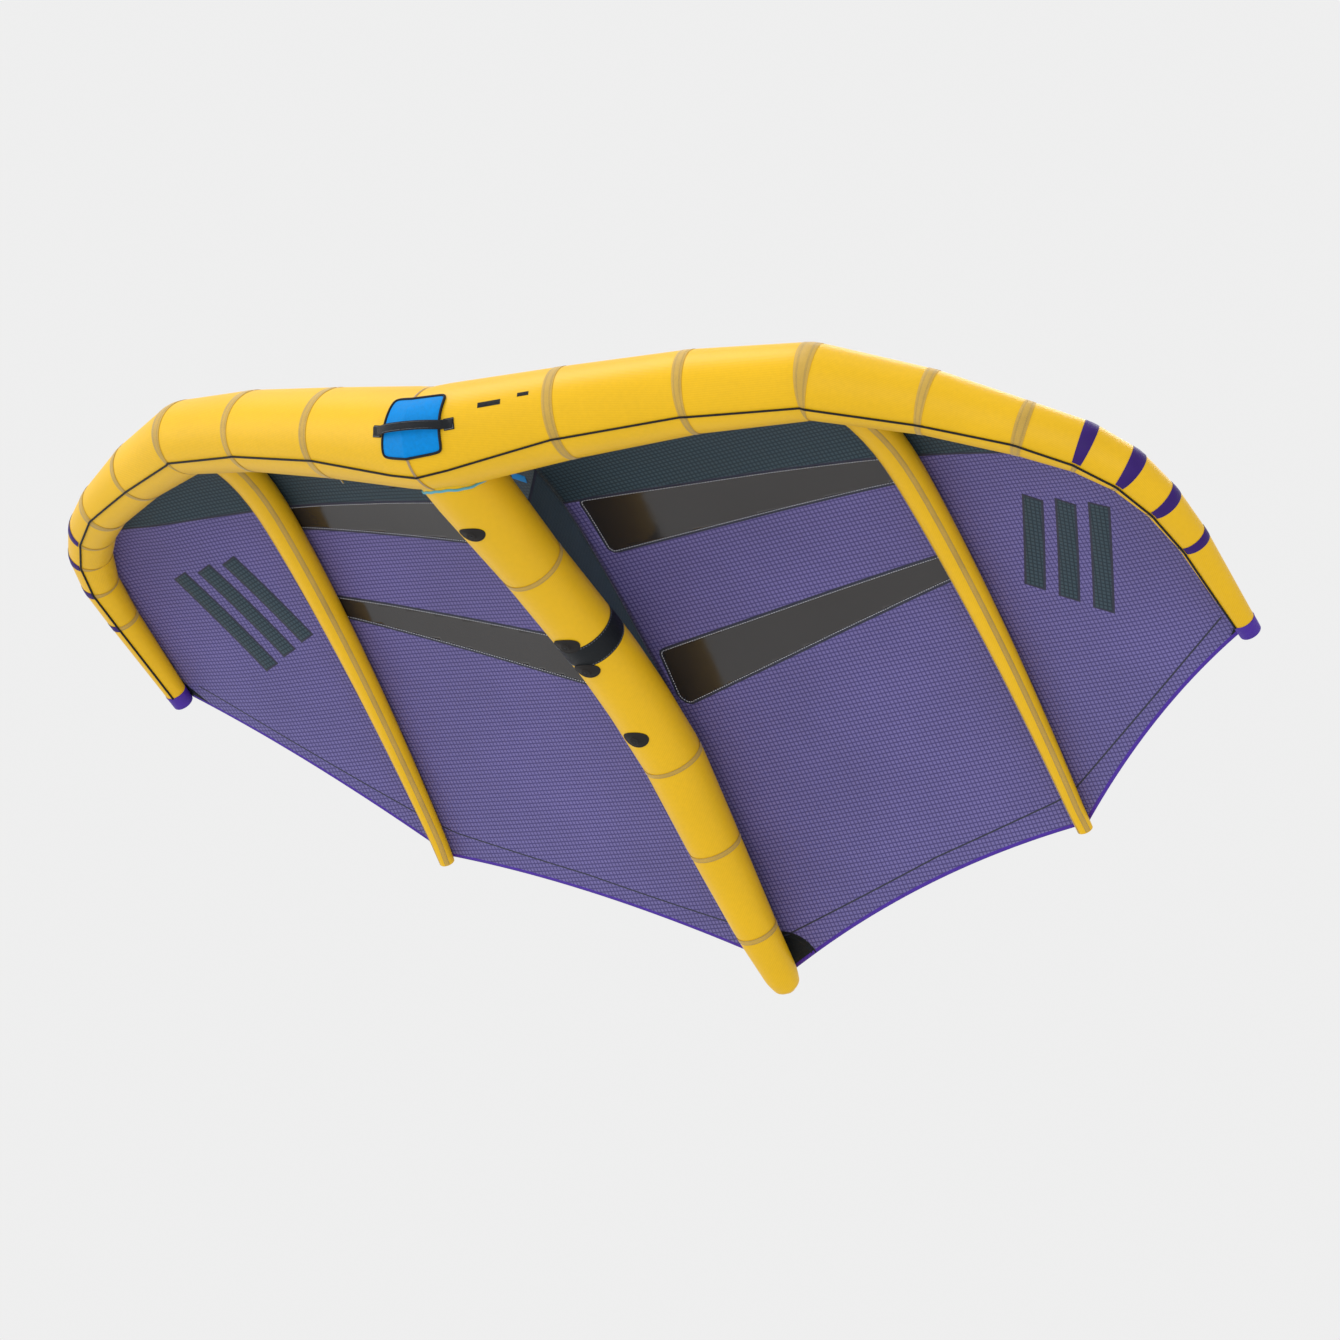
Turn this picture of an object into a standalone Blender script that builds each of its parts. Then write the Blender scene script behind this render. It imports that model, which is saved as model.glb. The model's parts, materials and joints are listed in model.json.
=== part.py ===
"""Inflatable hand-held wing for foil boards, with three struts.

The wing is modelled level: +X along the span, +Y from the leading edge back,
+Z from the struts towards the canopy. Lengths are in metres, angles in degrees.
Inside this file the middle of the leading edge is at zero; the finished wing is
moved so that the flat face of its front handle mount is the origin.
"""
import math
from collections import namedtuple

import bmesh
import bpy
from mathutils import Matrix, Vector

# Driving dimensions
HALF_SPAN = 2.05
TIP_SWEEP = 1.32
TIP_RISE = 0.386
NOSE_RADIUS = 0.158
CENTRE_CHORD = 2.300
CENTRE_TAIL_OVERHANG = 0.024
CENTRE_STRUT_RADIUS = 0.118
CENTRE_STRUT_ARCH = 0.118
OUTER_STRUT_RADIUS = 0.056
OUTER_STRUT_OVERHANG = 0.012
CANOPY_CAMBER = 0.185
SCALLOP_INNER = 0.060
SCALLOP_OUTER = 0.045

# Cloth, film and gaps
CASING_WALL = 0.0005
FILM_WALL = 0.0004
CANOPY_WALL = 0.0005
CLEARANCE = 0.0003
SEAM_GAP = 0.0003
WEB_WALL = 0.0006
SNAP = 0.002
WELD = 0.00003
CUT_OVERRUN = 0.012

# Leading edge tube, from the middle to the tip, where its straight lengths meet
LEADING_X_SHARES = (0.0, 0.2143, 0.4064, 0.5812, 0.7326, 0.8553, 0.9226, 0.9663, 0.9905, 0.9991, 1.0)
LEADING_Y_SHARES = (0.0, 0.0136, 0.0428, 0.0899, 0.2041, 0.316, 0.3987, 0.4824, 0.5841, 0.7094, 1.0)
LEADING_Z_SHARES = (0.0, 0.227, 0.462, 0.655, 0.765, 0.8175, 0.882, 0.916, 0.9376, 0.969, 1.0)
LEADING_RADIUS_SHARES = (1.0, 0.877, 0.795, 0.731, 0.623, 0.5225, 0.4925, 0.4475, 0.38, 0.317, 0.209)
LEADING_SIDES = 20
ATTACH_ANGLE = 210.0
PIPING_ANGLES = (-5.0, 7.5, 6.0, 0.5, 1.0, 9.0, 2.5, -2.5, -6.5, -11.0, -16.0)
PIPING_RADIUS = 0.002
PIPING_SIDES = 6

# Centre strut, from behind the leading edge to the tail
CENTRE_Y_SHARES = (0.241, 0.43, 0.512, 0.615, 0.757, 0.897, 0.977, 0.994, 1.0)
CENTRE_Z_SHARES = (0.46, 0.93, 1.0, 0.97, 0.545, 0.155, 0.02, 0.0, 0.0)
CENTRE_RADIUS_SHARES = (0.879, 0.858, 0.846, 0.829, 0.719, 0.572, 0.458, 0.363, 0.19)
CENTRE_SIDES = 16
CENTRE_START_SHARE = 0.12
TAIL_SEAT = -3

# Outer struts, hung under the canopy
OUTER_TAIL_X_SHARE = 0.598
OUTER_TAIL_Y_SHARE = 0.8326
TAIL_RISE_SHARE = 0.617
OUTER_RADIUS_TAIL_SHARE = 0.43
OUTER_RADIUS_POWER = 1.2
OUTER_END_SHARES = ((0.45, 0.95), (0.85, 0.72), (1.0, 0.4))
OUTER_SIDES = 12

# Canopy shape and where it is cut
CAMBER_PEAK_SHARE = 0.28
CAMBER_FRONT_POWER = 2.5
CAMBER_REAR_POWER = 1.8
CAMBER_SPAN_POWER = 1.16
WIDE_BAY_SHARE = 0.1
CANOPY_ROW_SHARES = (0.108, 0.15, 0.2, 0.26, 0.33, 0.41, 0.5, 0.59, 0.68, 0.77, 0.86, 0.94)
SEAM_MIDDLE_SHARE = 0.236
SEAM_TIP_SHARE = 0.262
FRONT_WINDOW_INNER_SHARES = ((0.026, 0.3325), (0.033, 0.330))
FRONT_WINDOW_OUTER_SHARE = 0.293
REAR_WINDOW_TOP_SHARES = (0.494, 0.409)
REAR_WINDOW_BOTTOM_SHARES = (0.582, 0.443)
REAR_WINDOW_INNER_X_SHARES = (0.018, 0.013, 0.025)
REAR_WINDOW_CORNER_SHARE = 0.57
TAIL_PATCH_LENGTH = 0.125
TAIL_PATCH_WIDTH = 0.115
TIP_PATCH_SHARE = 0.8
TIP_PATCH_WIDTH = 0.075
EDGE_TAPE_WIDTH = 0.012
EDGE_TAPE_WALL = 0.0012
EDGE_STEPS = 7
WEB_FRONT = 0.435
WEB_FRONT_SLANT = 0.055
WEB_TAIL_SHARE = 0.975

# Air ports between the leading edge and the struts
PORT_RADIUS = 0.010
PORT_WALL = 0.0015
PORT_REACH = 0.022
PORT_SIDES = 12
NECK_RADIUS = 0.0145
NECK_START = 0.012
NECK_LENGTH = 0.028
SHOULDER_LENGTH = 0.030

# Tip caps
TIP_CAP_LENGTH = 0.050
TIP_CAP_WALL = 0.001
TIP_CAP_END = 0.006

# Handle mounts on the centre strut
MOUNT_PLACES = (0.292, 0.830, 0.949, 1.268)
MOUNT_NAMES = ("front", "second", "third", "rear")
MOUNTS_OVER_BAND = ("second", "third")
SADDLE_HALF_LENGTH = 0.031
SADDLE_HALF_WIDTH = 0.046
SADDLE_WALL = 0.0025
SADDLE_POINTS = 20
BOSS_RADIUS = 0.0150
BOSS_HEIGHT = 0.008
INSERT_RADIUS = 0.0045
INSERT_BORE = 0.0021
FACE_OFFSET = 0.0100
BAND_WIDTH = 0.084
BAND_WALL = 0.001
BAND_HALF_ANGLE = 165.0

# Carrying handle on the leading edge
PAD_LEFT_LOW = 0.073
PAD_RIGHT_LOW = 0.093
PAD_LEFT_HIGH = 0.064
PAD_RIGHT_HIGH = 0.116
PAD_LOW_ANGLE = 21.0
PAD_HIGH_ANGLE = 89.0
PAD_WAIST = 0.004
PAD_WALL = 0.005
STRAP_ANGLE = 50.0
STRAP_LEFT = 0.082
STRAP_RIGHT = 0.120
STRAP_WIDTH = 0.028
STRAP_WALL = 0.0025
STRAP_CLEAR = 0.034
STRAP_RISE_SHARES = ((0.04, 0.10), (0.12, 0.42), (0.22, 0.74), (0.34, 0.94), (0.5, 1.0))
STRAP_HEM_RADIUS = 0.0035
STRAP_SEAT = 0.0046
ANCHOR_LENGTH = 0.027
ANCHOR_WIDTH = 0.036
ANCHOR_WALL = 0.002

# Inflation valve on the rear of the leading edge
VALVE_PLACE = -0.260
VALVE_ANGLE = -69.0
FLANGE_RADIUS = 0.034
FLANGE_WALL = 0.0012
VALVE_RADIUS = 0.0165
VALVE_WALL = 0.004
VALVE_HEIGHT = 0.014
VALVE_DEPTH = 0.010
VALVE_FLOOR = 0.003
VALVE_SIDES = 20
STEM_RADIUS = 0.0025
STEM_CLEAR = 0.0012
BUTTON_RADIUS = 0.0060
BUTTON_HEIGHT = 0.002
BUTTON_LIFT = 0.0055
SEAL_RADIUS = 0.0100
SEAL_HEIGHT = 0.002
CAP_HEIGHT = 0.003
PLUG_RADIUS = 0.0100
PLUG_HEIGHT = 0.003
COLLAR_WALL = 0.0022
COLLAR_HEIGHT = 0.003
HINGE_OUT = 0.0235
EAR_WIDTH = 0.008

# Bladder access zip on the rear of the leading edge
ZIP_START = -0.50
ZIP_END = -0.79
ZIP_ANGLE = -69.0
ZIP_TAPE_WIDTH = 0.028
ZIP_TAPE_WALL = 0.0008
ZIP_COIL_WIDTH = 0.005
ZIP_COIL_HEIGHT = 0.0018
SLIDER_LENGTH = 0.011
SLIDER_WALL = 0.0012
EAR_HEIGHT = 0.0044
PULL_LENGTH = 0.026
PULL_WALL = 0.0014
PULL_WIDTH = 0.0046
PULL_PIN_RADIUS = 0.0007
PIN_SIDES = 10

# Colours, roughness and metallic value of each finish
FINISHES = {
    "yellow_cloth": ((0.76, 0.40, 0.02), 0.55, 0.0),
    "film": ((0.86, 0.88, 0.90), 0.35, 0.0),
    "violet_cloth": ((0.11, 0.09, 0.22), 0.7, 0.0),
    "teal_cloth": ((0.032, 0.053, 0.065), 0.7, 0.0),
    "window_film": ((0.055, 0.050, 0.045), 0.18, 0.0),
    "navy_cloth": ((0.030, 0.034, 0.058), 0.7, 0.0),
    "violet_tape": ((0.08, 0.03, 0.32), 0.5, 0.0),
    "black_cloth": ((0.012, 0.014, 0.017), 0.75, 0.0),
    "blue_foam": ((0.0, 0.24, 0.78), 0.6, 0.0),
    "webbing": ((0.010, 0.012, 0.014), 0.8, 0.0),
    "black_rubber": ((0.022, 0.021, 0.020), 0.6, 0.0),
    "grey_plastic": ((0.16, 0.17, 0.18), 0.45, 0.0),
    "steel": ((0.55, 0.56, 0.57), 0.3, 1.0),
}

UP = Vector((0.0, 0.0, 1.0))
Station = namedtuple("Station", "centre side up radius")


def clear_scene():
    for item in list(bpy.data.objects):
        bpy.data.objects.remove(item, do_unlink=True)


def between(first, second, share):
    return first * (1.0 - share) + second * share


def read_table(xs, ys, x):
    """Straight-line reading of a table, held at its ends."""
    if x <= xs[0]:
        return ys[0]
    for left in range(len(xs) - 1):
        if x <= xs[left + 1]:
            share = (x - xs[left]) / (xs[left + 1] - xs[left])
            return between(ys[left], ys[left + 1], share)
    return ys[-1]


class Tube:
    """A tapering tube of straight lengths, whose corners run along its sides."""

    def __init__(self, stations, sides, corner_angle, zero_index=0):
        self.stations = stations
        self.sides = sides
        self.corner = corner_angle
        gaps = [(b.centre - a.centre).length for a, b in zip(stations, stations[1:])]
        runs = [sum(gaps[:count]) for count in range(len(stations))]
        self.runs = [run - runs[zero_index] for run in runs]

    def station(self, run):
        """The tube's cross-section a distance along its centre line."""
        index = 0
        while index < len(self.runs) - 2 and run > self.runs[index + 1]:
            index += 1
        a, b = self.stations[index], self.stations[index + 1]
        share = (run - self.runs[index]) / (self.runs[index + 1] - self.runs[index])
        mixed = [between(getattr(a, part), getattr(b, part), share) for part in Station._fields]
        return Station(*mixed)

    def facet_middle(self, angle):
        step = 360.0 / self.sides
        return self.corner + step * (math.floor((angle - self.corner) / step) + 0.5)

    def flat_radius(self, radius, angle):
        """Distance from the centre line to the flat side at this angle."""
        off_middle = math.radians(angle - self.facet_middle(angle))
        return radius * math.cos(math.pi / self.sides) / math.cos(off_middle)

    def point(self, run, angle, lift=0.0):
        """A point on the tube: angle 0 is straight down, 90 towards its side vector."""
        place = self.station(run)
        turn = math.radians(angle)
        outward = place.side * math.sin(turn) - place.up * math.cos(turn)
        return place.centre + outward * (self.flat_radius(place.radius, angle) + lift)

    def corners(self):
        return [self.corner + 360.0 * step / self.sides for step in range(-self.sides, self.sides)]

    def ring(self, place, depth=0.0):
        """The corners of one cross-section, its flats set in by a depth."""
        radius = place.radius - depth / math.cos(math.pi / self.sides)
        points = []
        for step in range(self.sides):
            turn = math.radians(self.corner + 360.0 * step / self.sides)
            outward = place.side * math.sin(turn) - place.up * math.cos(turn)
            points.append(place.centre + outward * radius)
        return points


def cross_station(centre, tangent, radius, upright=UP):
    side = tangent.cross(upright).normalized()
    return Station(centre, side, side.cross(tangent).normalized(), radius)


def leading_edge_tube():
    """Twenty straight lengths from the left tip to the right one."""
    shares = zip(LEADING_X_SHARES, LEADING_Y_SHARES, LEADING_Z_SHARES)
    right = [Vector((x * HALF_SPAN, y * TIP_SWEEP, z * TIP_RISE)) for x, y, z in shares]
    left = [Vector((-p.x, p.y, p.z)) for p in right[:0:-1]]
    centres = left + right
    radii = [share * NOSE_RADIUS for share in LEADING_RADIUS_SHARES]
    radii = radii[:0:-1] + radii
    stations = []
    for index, centre in enumerate(centres):
        before = centres[max(index - 1, 0)]
        after = centres[min(index + 1, len(centres) - 1)]
        ahead = (after - centre).normalized() if after != centre else (centre - before).normalized()
        behind = (centre - before).normalized() if before != centre else ahead
        stations.append(cross_station(centre, (ahead + behind).normalized(), radii[index]))
    return Tube(stations, LEADING_SIDES, ATTACH_ANGLE, zero_index=len(right) - 1)


LEADING = leading_edge_tube()
TIP_INDEX = len(LEADING_X_SHARES) - 1


def leading_edge_distance(point):
    """How far a point is outside the round leading edge tube."""
    mirrored = Vector((abs(point.x), point.y, point.z))
    nearest = None
    right = LEADING.stations[TIP_INDEX:]
    for a, b in zip(right, right[1:]):
        axis = b.centre - a.centre
        share = (mirrored - a.centre).dot(axis) / axis.length_squared
        share = min(max(share, 0.0), 1.0)
        radius = between(a.radius, b.radius, share)
        distance = (mirrored - a.centre - axis * share).length - radius
        nearest = distance if nearest is None else min(nearest, distance)
    return nearest


def run_to_leading_edge(start, direction, gap):
    """Follow a line from start until it is gap away from the leading edge."""
    stride = SNAP * 4.0
    near = 0.0
    while near < HALF_SPAN and leading_edge_distance(start + direction * (near + stride)) > gap:
        near += stride
    far = near + stride
    for _ in range(30):
        middle = (near + far) / 2.0
        if leading_edge_distance(start + direction * middle) > gap:
            near = middle
        else:
            far = middle
    return start + direction * near


# The canopy's front line, along the leading edge, and its rear line
ATTACH = [
    LEADING.stations[TIP_INDEX + index].centre
    + (LEADING.ring(LEADING.stations[TIP_INDEX + index], -CLEARANCE)[0]
       - LEADING.stations[TIP_INDEX + index].centre)
    for index in range(TIP_INDEX + 1)
]
ATTACH_X = [point.x for point in ATTACH]
ATTACH_Y = [point.y for point in ATTACH]
ATTACH_Z = [point.z for point in ATTACH]
TAIL_X = OUTER_TAIL_X_SHARE * HALF_SPAN
TAIL_Y = OUTER_TAIL_Y_SHARE * CENTRE_CHORD
STRUT_X = LEADING_X_SHARES[3] * HALF_SPAN


def strut_line_x(y):
    """Where the outer strut lies, seen from above."""
    front = read_table(ATTACH_X, ATTACH_Y, STRUT_X)
    return between(STRUT_X, TAIL_X, (y - front) / (TAIL_Y - front))


def centre_strut_tube():
    table = zip(CENTRE_Y_SHARES, CENTRE_Z_SHARES, CENTRE_RADIUS_SHARES)
    length = CENTRE_CHORD + CENTRE_TAIL_OVERHANG
    places = [(Vector((0.0, y * length, z * CENTRE_STRUT_ARCH)), r * CENTRE_STRUT_RADIUS)
              for y, z, r in table]
    first = places[0][0]
    slope = (places[1][0] - first).normalized()
    nose = run_to_leading_edge(first, -slope, CLEARANCE + CASING_WALL)
    places.insert(0, (between(nose, first, CENTRE_START_SHARE), CENTRE_STRUT_RADIUS))
    stations = []
    for index, (centre, radius) in enumerate(places):
        before = places[max(index - 1, 0)][0]
        after = places[min(index + 1, len(places) - 1)][0]
        tangent = (after - before).normalized()
        stations.append(cross_station(centre, tangent, radius))
    return Tube(stations, CENTRE_SIDES, 180.0 / CENTRE_SIDES)


CENTRE = centre_strut_tube()
CENTRE_TOPS = [place.centre + place.up * CENTRE.flat_radius(place.radius, 180.0)
               for place in CENTRE.stations]


def centre_strut_top(y):
    """Height of the flat along the top of the centre strut."""
    return read_table([top.y for top in CENTRE_TOPS], [top.z for top in CENTRE_TOPS], y)


def rear_points():
    """The trailing edge from the middle to the tip: two scallops, as short straight cuts."""
    tip = ATTACH[-1]
    middle = Vector((0.0, CENTRE_CHORD, CENTRE_TOPS[TAIL_SEAT].z + 2.0 * CLEARANCE))
    tail = Vector((TAIL_X, TAIL_Y, TAIL_RISE_SHARE * TIP_RISE))
    points = []
    for start, end, depth in ((middle, tail, SCALLOP_INNER), (tail, tip, SCALLOP_OUTER)):
        for step in range(EDGE_STEPS):
            share = step / EDGE_STEPS
            sag = Vector((0.0, depth * 4.0 * share * (1.0 - share), 0.0))
            points.append(between(start, end, share) - sag)
    return points + [tip]


REAR = rear_points()
REAR_X = [point.x for point in REAR]
REAR_Y = [point.y for point in REAR]
REAR_Z = [point.z for point in REAR]


def camber(x, share):
    """Height of the canopy over the straight line from its front to its rear."""
    spread = max(1.0 - (x / HALF_SPAN) ** 2, 0.0) ** CAMBER_SPAN_POWER
    peak = CAMBER_PEAK_SHARE
    if share < peak:
        form = 1.0 - ((peak - share) / peak) ** CAMBER_FRONT_POWER
    else:
        form = 1.0 - ((share - peak) / (1.0 - peak)) ** CAMBER_REAR_POWER
    return CANOPY_CAMBER * spread * form


def canopy_point(x, y, lift=0.0):
    """A point on the under side of the canopy, for either side of the wing."""
    across = abs(x)
    front_y = read_table(ATTACH_X, ATTACH_Y, across)
    front_z = read_table(ATTACH_X, ATTACH_Z, across)
    rear_y = read_table(REAR_X, REAR_Y, across)
    rear_z = read_table(REAR_X, REAR_Z, across)
    share = min(max((y - front_y) / max(rear_y - front_y, SNAP), 0.0), 1.0)
    height = between(front_z, rear_z, share) + camber(across, share)
    return Vector((x, y, height + lift))


def outer_strut_tube(side):
    """Stations under the canopy's cross rows, so that the strut hugs the cloth."""
    nose = read_table(ATTACH_X, ATTACH_Y, STRUT_X)
    rows = [share * CENTRE_CHORD for share in CANOPY_ROW_SHARES]
    rows = [y for y in rows if nose < y < TAIL_Y] + [TAIL_Y]
    tops = [canopy_point(side * strut_line_x(y), y) for y in rows]
    front = tops[0].y
    stations = []
    for index, top in enumerate(tops):
        before, after = tops[max(index - 1, 0)], tops[min(index + 1, len(tops) - 1)]
        tangent = (after - before).normalized()
        inner = canopy_point(top.x - SNAP, top.y)
        outer = canopy_point(top.x + SNAP, top.y)
        upright = (outer - inner).cross(tangent).normalized()
        share = (top.y - front) / (TAIL_Y - front)
        radius = OUTER_STRUT_RADIUS * between(1.0, OUTER_RADIUS_TAIL_SHARE, share ** OUTER_RADIUS_POWER)
        centre = top - upright * (radius + CLEARANCE)
        stations.append(cross_station(centre, tangent, radius, upright))
    last = stations[-1]
    ahead = last.up.cross(last.side).normalized()
    for reach, size in OUTER_END_SHARES:
        centre = last.centre + ahead * (OUTER_STRUT_OVERHANG * reach)
        stations.append(Station(centre, last.side, last.up, last.radius * size))
    return Tube(stations, OUTER_SIDES, 180.0)


OUTER = {side: outer_strut_tube(side) for side in (-1, 1)}
SIDE_NAMES = {-1: "left", 1: "right"}


def origin_empty():
    """All pieces hang on this empty, which puts the front mount's face at zero."""
    empty = bpy.data.objects.new("wing_origin", None)
    bpy.context.collection.objects.link(empty)
    empty.location = -mount_face(0)[0]
    return empty


def add_piece(name, bm, finish, matrix=None, smooth=40.0):
    """Turn a finished bmesh into a named object with its own material."""
    mesh = bpy.data.meshes.new(name)
    bm.to_mesh(mesh)
    bm.free()
    mesh.shade_smooth()
    mesh.set_sharp_from_angle(angle=math.radians(smooth))
    piece = bpy.data.objects.new(name, mesh)
    bpy.context.collection.objects.link(piece)
    piece.parent = bpy.data.objects["wing_origin"]
    if matrix is not None:
        piece.matrix_local = matrix
    colour, roughness, metallic = FINISHES[finish]
    material = bpy.data.materials.new(name + "_" + finish)
    material.use_nodes = True
    shader = material.node_tree.nodes["Principled BSDF"]
    shader.inputs["Base Color"].default_value = (*colour, 1.0)
    shader.inputs["Roughness"].default_value = roughness
    shader.inputs["Metallic"].default_value = metallic
    mesh.materials.append(material)
    return piece


def turn_outward(bm):
    """Make every face of a closed body face out."""
    bmesh.ops.recalc_face_normals(bm, faces=bm.faces[:])
    if bm.calc_volume(signed=True) < 0.0:
        bmesh.ops.reverse_faces(bm, faces=bm.faces[:])


def loft(rings, close_first=False, close_last=True):
    """A skin through rings of equal counts, closed at the ends that ask for it."""
    bm = bmesh.new()
    loops = [[bm.verts.new(point) for point in ring] for ring in rings]
    for first, second in zip(loops, loops[1:]):
        for index in range(len(first)):
            bm.faces.new((first[index - 1], first[index], second[index]))
            bm.faces.new((first[index - 1], second[index], second[index - 1]))
    if close_first:
        bm.faces.new(loops[0])
    if close_last:
        bm.faces.new(loops[-1])
    turn_outward(bm)
    return bm


def face_outward(bm, inside):
    """Turn an open skin's faces away from a point inside it."""
    face = bm.faces[:][0]
    if (face.calc_center_median() - inside).dot(face.normal) < 0.0:
        bmesh.ops.reverse_faces(bm, faces=bm.faces[:])


def add_wall(piece, wall):
    """Grow a skin inwards to its wall."""
    solid = piece.modifiers.new("wall", "SOLIDIFY")
    solid.thickness = wall
    solid.offset = -1.0
    solid.use_even_offset = True


def add_cut(piece, cutter, operation="DIFFERENCE"):
    cut = piece.modifiers.new("cut", "BOOLEAN")
    cut.operation = operation
    cut.object = cutter
    cut.solver = "EXACT"


def add_cutter(name, bm, matrix=None):
    """A cutting body, which is not itself part of the wing."""
    cutter = add_piece(name, bm, "steel", matrix)
    cutter.hide_render = True
    cutter.display_type = "WIRE"
    return cutter


def laid_sheet(outline, columns, rows, lower, upper, gap=0.0, slanted=None):
    """A flat outline, cut along columns and rows, laid on a surface and thickened.

    lower and upper turn a flat place into a point on the sheet's two skins.
    """
    bm = bmesh.new()
    face = bm.faces.new([bm.verts.new((u, v, 0.0)) for u, v in outline])
    if gap:
        face.normal_update()
        rim = bmesh.ops.inset_individual(bm, faces=[face], thickness=gap / 2.0, use_even_offset=True)
        bmesh.ops.delete(bm, geom=rim["faces"], context="FACES")
    cuts = [((u, 0.0, 0.0), (1.0, 0.0, 0.0)) for u in columns]
    cuts += [((0.0, v, 0.0), (0.0, 1.0, 0.0)) for v in rows]
    cuts += [slanted] if slanted else []
    for place, normal in cuts:
        everything = bm.verts[:] + bm.edges[:] + bm.faces[:]
        bmesh.ops.bisect_plane(bm, geom=everything, dist=SNAP, plane_co=place, plane_no=normal)
    bmesh.ops.triangulate(bm, faces=bm.faces[:])
    base = set(bm.verts)
    bmesh.ops.extrude_face_region(bm, geom=bm.faces[:], use_keep_orig=True)
    for vert in bm.verts:
        u, v = vert.co.x, vert.co.y
        vert.co = lower(u, v) if vert in base else upper(u, v)
    turn_outward(bm)
    return bm


def tube_sheet(tube, outline, wall, lift=CLEARANCE):
    """A sheet laid on a tube; outline holds runs and angles."""
    return laid_sheet(
        outline, tube.runs, tube.corners(),
        lambda run, angle: tube.point(run, angle, lift),
        lambda run, angle: tube.point(run, angle, lift + wall),
    )


def turned(profile, sides):
    """A turned body from a closed profile of radius and height."""
    bm = bmesh.new()
    corners = [bm.verts.new((radius, 0.0, height)) for radius, height in profile]
    edges = [bm.edges.new((corners[index - 1], corners[index])) for index in range(len(corners))]
    on_axis = [edge for edge in edges if max(vert.co.x for vert in edge.verts) < WELD]
    bmesh.ops.delete(bm, geom=on_axis, context="EDGES_FACES")
    bmesh.ops.spin(bm, geom=bm.verts[:] + bm.edges[:], axis=UP, cent=(0.0, 0.0, 0.0),
                   angle=2.0 * math.pi, steps=sides, use_merge=True)
    bmesh.ops.remove_doubles(bm, verts=bm.verts[:], dist=WELD)
    turn_outward(bm)
    return bm


def rod(start, end, radius, sides):
    """A plain round rod between two points."""
    axis = end - start
    turn = UP.rotation_difference(axis.normalized()).to_matrix().to_4x4()
    bm = bmesh.new()
    bmesh.ops.create_cone(bm, cap_ends=True, segments=sides, radius1=radius, radius2=radius,
                          depth=axis.length, matrix=Matrix.Translation((start + end) / 2.0) @ turn)
    return bm


def add_box(bm, low, high):
    """A box between two corners, added to a bmesh."""
    low, high = Vector(low), Vector(high)
    size = high - low
    place = Matrix.Translation((low + high) / 2.0) @ Matrix.Diagonal((*size, 1.0))
    bmesh.ops.create_cube(bm, size=1.0, matrix=place)


def prism(outline, low, high, axis):
    """An outline drawn square to X or Y, drawn out along that axis."""
    bm = bmesh.new()
    for along in (low, high):
        corners = [(u, along, v) if axis == "Y" else (along, u, v) for u, v in outline]
        bm.faces.new([bm.verts.new(corner) for corner in corners])
    bmesh.ops.bridge_loops(bm, edges=bm.edges[:])
    turn_outward(bm)
    return bm


def surface_frame(tube, run, angle):
    """Axes on a flat side: X along the tube, Z outwards, zero on the surface."""
    flat = tube.facet_middle(angle)
    place = tube.point(run, flat)
    ahead = (tube.point(run + SNAP, flat) - tube.point(run - SNAP, flat)).normalized()
    step = 90.0 / tube.sides
    across = (tube.point(run, flat + step) - tube.point(run, flat - step)).normalized()
    outward = ahead.cross(across).normalized()
    if outward.dot(place - tube.station(run).centre) < 0.0:
        outward = -outward
    across = outward.cross(ahead)
    rows = Matrix((ahead, across, outward)).transposed().to_4x4()
    return Matrix.Translation(place) @ rows


def mount_run(index):
    """Distance along the centre strut of one handle mount."""
    return read_table([place.centre.y for place in CENTRE.stations], CENTRE.runs, MOUNT_PLACES[index])


def mount_lift(index):
    """How far a saddle lies off the strut's casing: two of them lie over the band."""
    if MOUNT_NAMES[index] in MOUNTS_OVER_BAND:
        return BAND_WALL + 2.0 * CLEARANCE
    return CLEARANCE


def mount_face(index):
    """A point on the flat face of a handle mount, beside its insert, and its normal."""
    frame = surface_frame(CENTRE, mount_run(index), 0.0)
    point = frame @ Vector((-FACE_OFFSET, 0.0, mount_lift(index) + BOSS_HEIGHT))
    return point, frame.to_3x3() @ UP


def port_line(tube, side):
    """Start and end of the air port that joins the leading edge to a strut."""
    first = tube.stations[0]
    if side == 0:
        direction = (first.centre - tube.stations[1].centre).normalized()
    else:
        front = canopy_point(side * STRUT_X, read_table(ATTACH_X, ATTACH_Y, STRUT_X))
        top = first.centre + first.up * first.radius
        direction = (front - top).normalized()
    touch = run_to_leading_edge(first.centre, direction, 0.0)
    return touch, direction


def add_ports():
    """The three air ports, and the cutter that opens the casing and bladder for them."""
    tubes = {"centre": (CENTRE, 0), "left": (OUTER[-1], -1), "right": (OUTER[1], 1)}
    hole = (PORT_RADIUS + CLEARANCE) / math.cos(math.pi / PORT_SIDES)
    cutters = []
    for name, (tube, side) in tubes.items():
        touch, direction = port_line(tube, side)
        inner = touch + direction * PORT_REACH
        outer = touch - direction * (NECK_START + PORT_REACH)
        length = (outer - inner).length
        profile = [(PORT_RADIUS, 0.0), (PORT_RADIUS, length),
                   (PORT_RADIUS - PORT_WALL, length), (PORT_RADIUS - PORT_WALL, 0.0)]
        turn = UP.rotation_difference(-direction).to_matrix().to_4x4()
        add_piece("air_port_" + name, turned(profile, PORT_SIDES), "grey_plastic",
                  Matrix.Translation(inner) @ turn)
        cutter = rod(inner + direction * CUT_OVERRUN, touch - direction * CUT_OVERRUN, hole, PORT_SIDES)
        cutters.append(add_cutter("port_cutter_" + name, cutter))
    return cutters


def valve_frame():
    return surface_frame(LEADING, VALVE_PLACE, VALVE_ANGLE)


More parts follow.
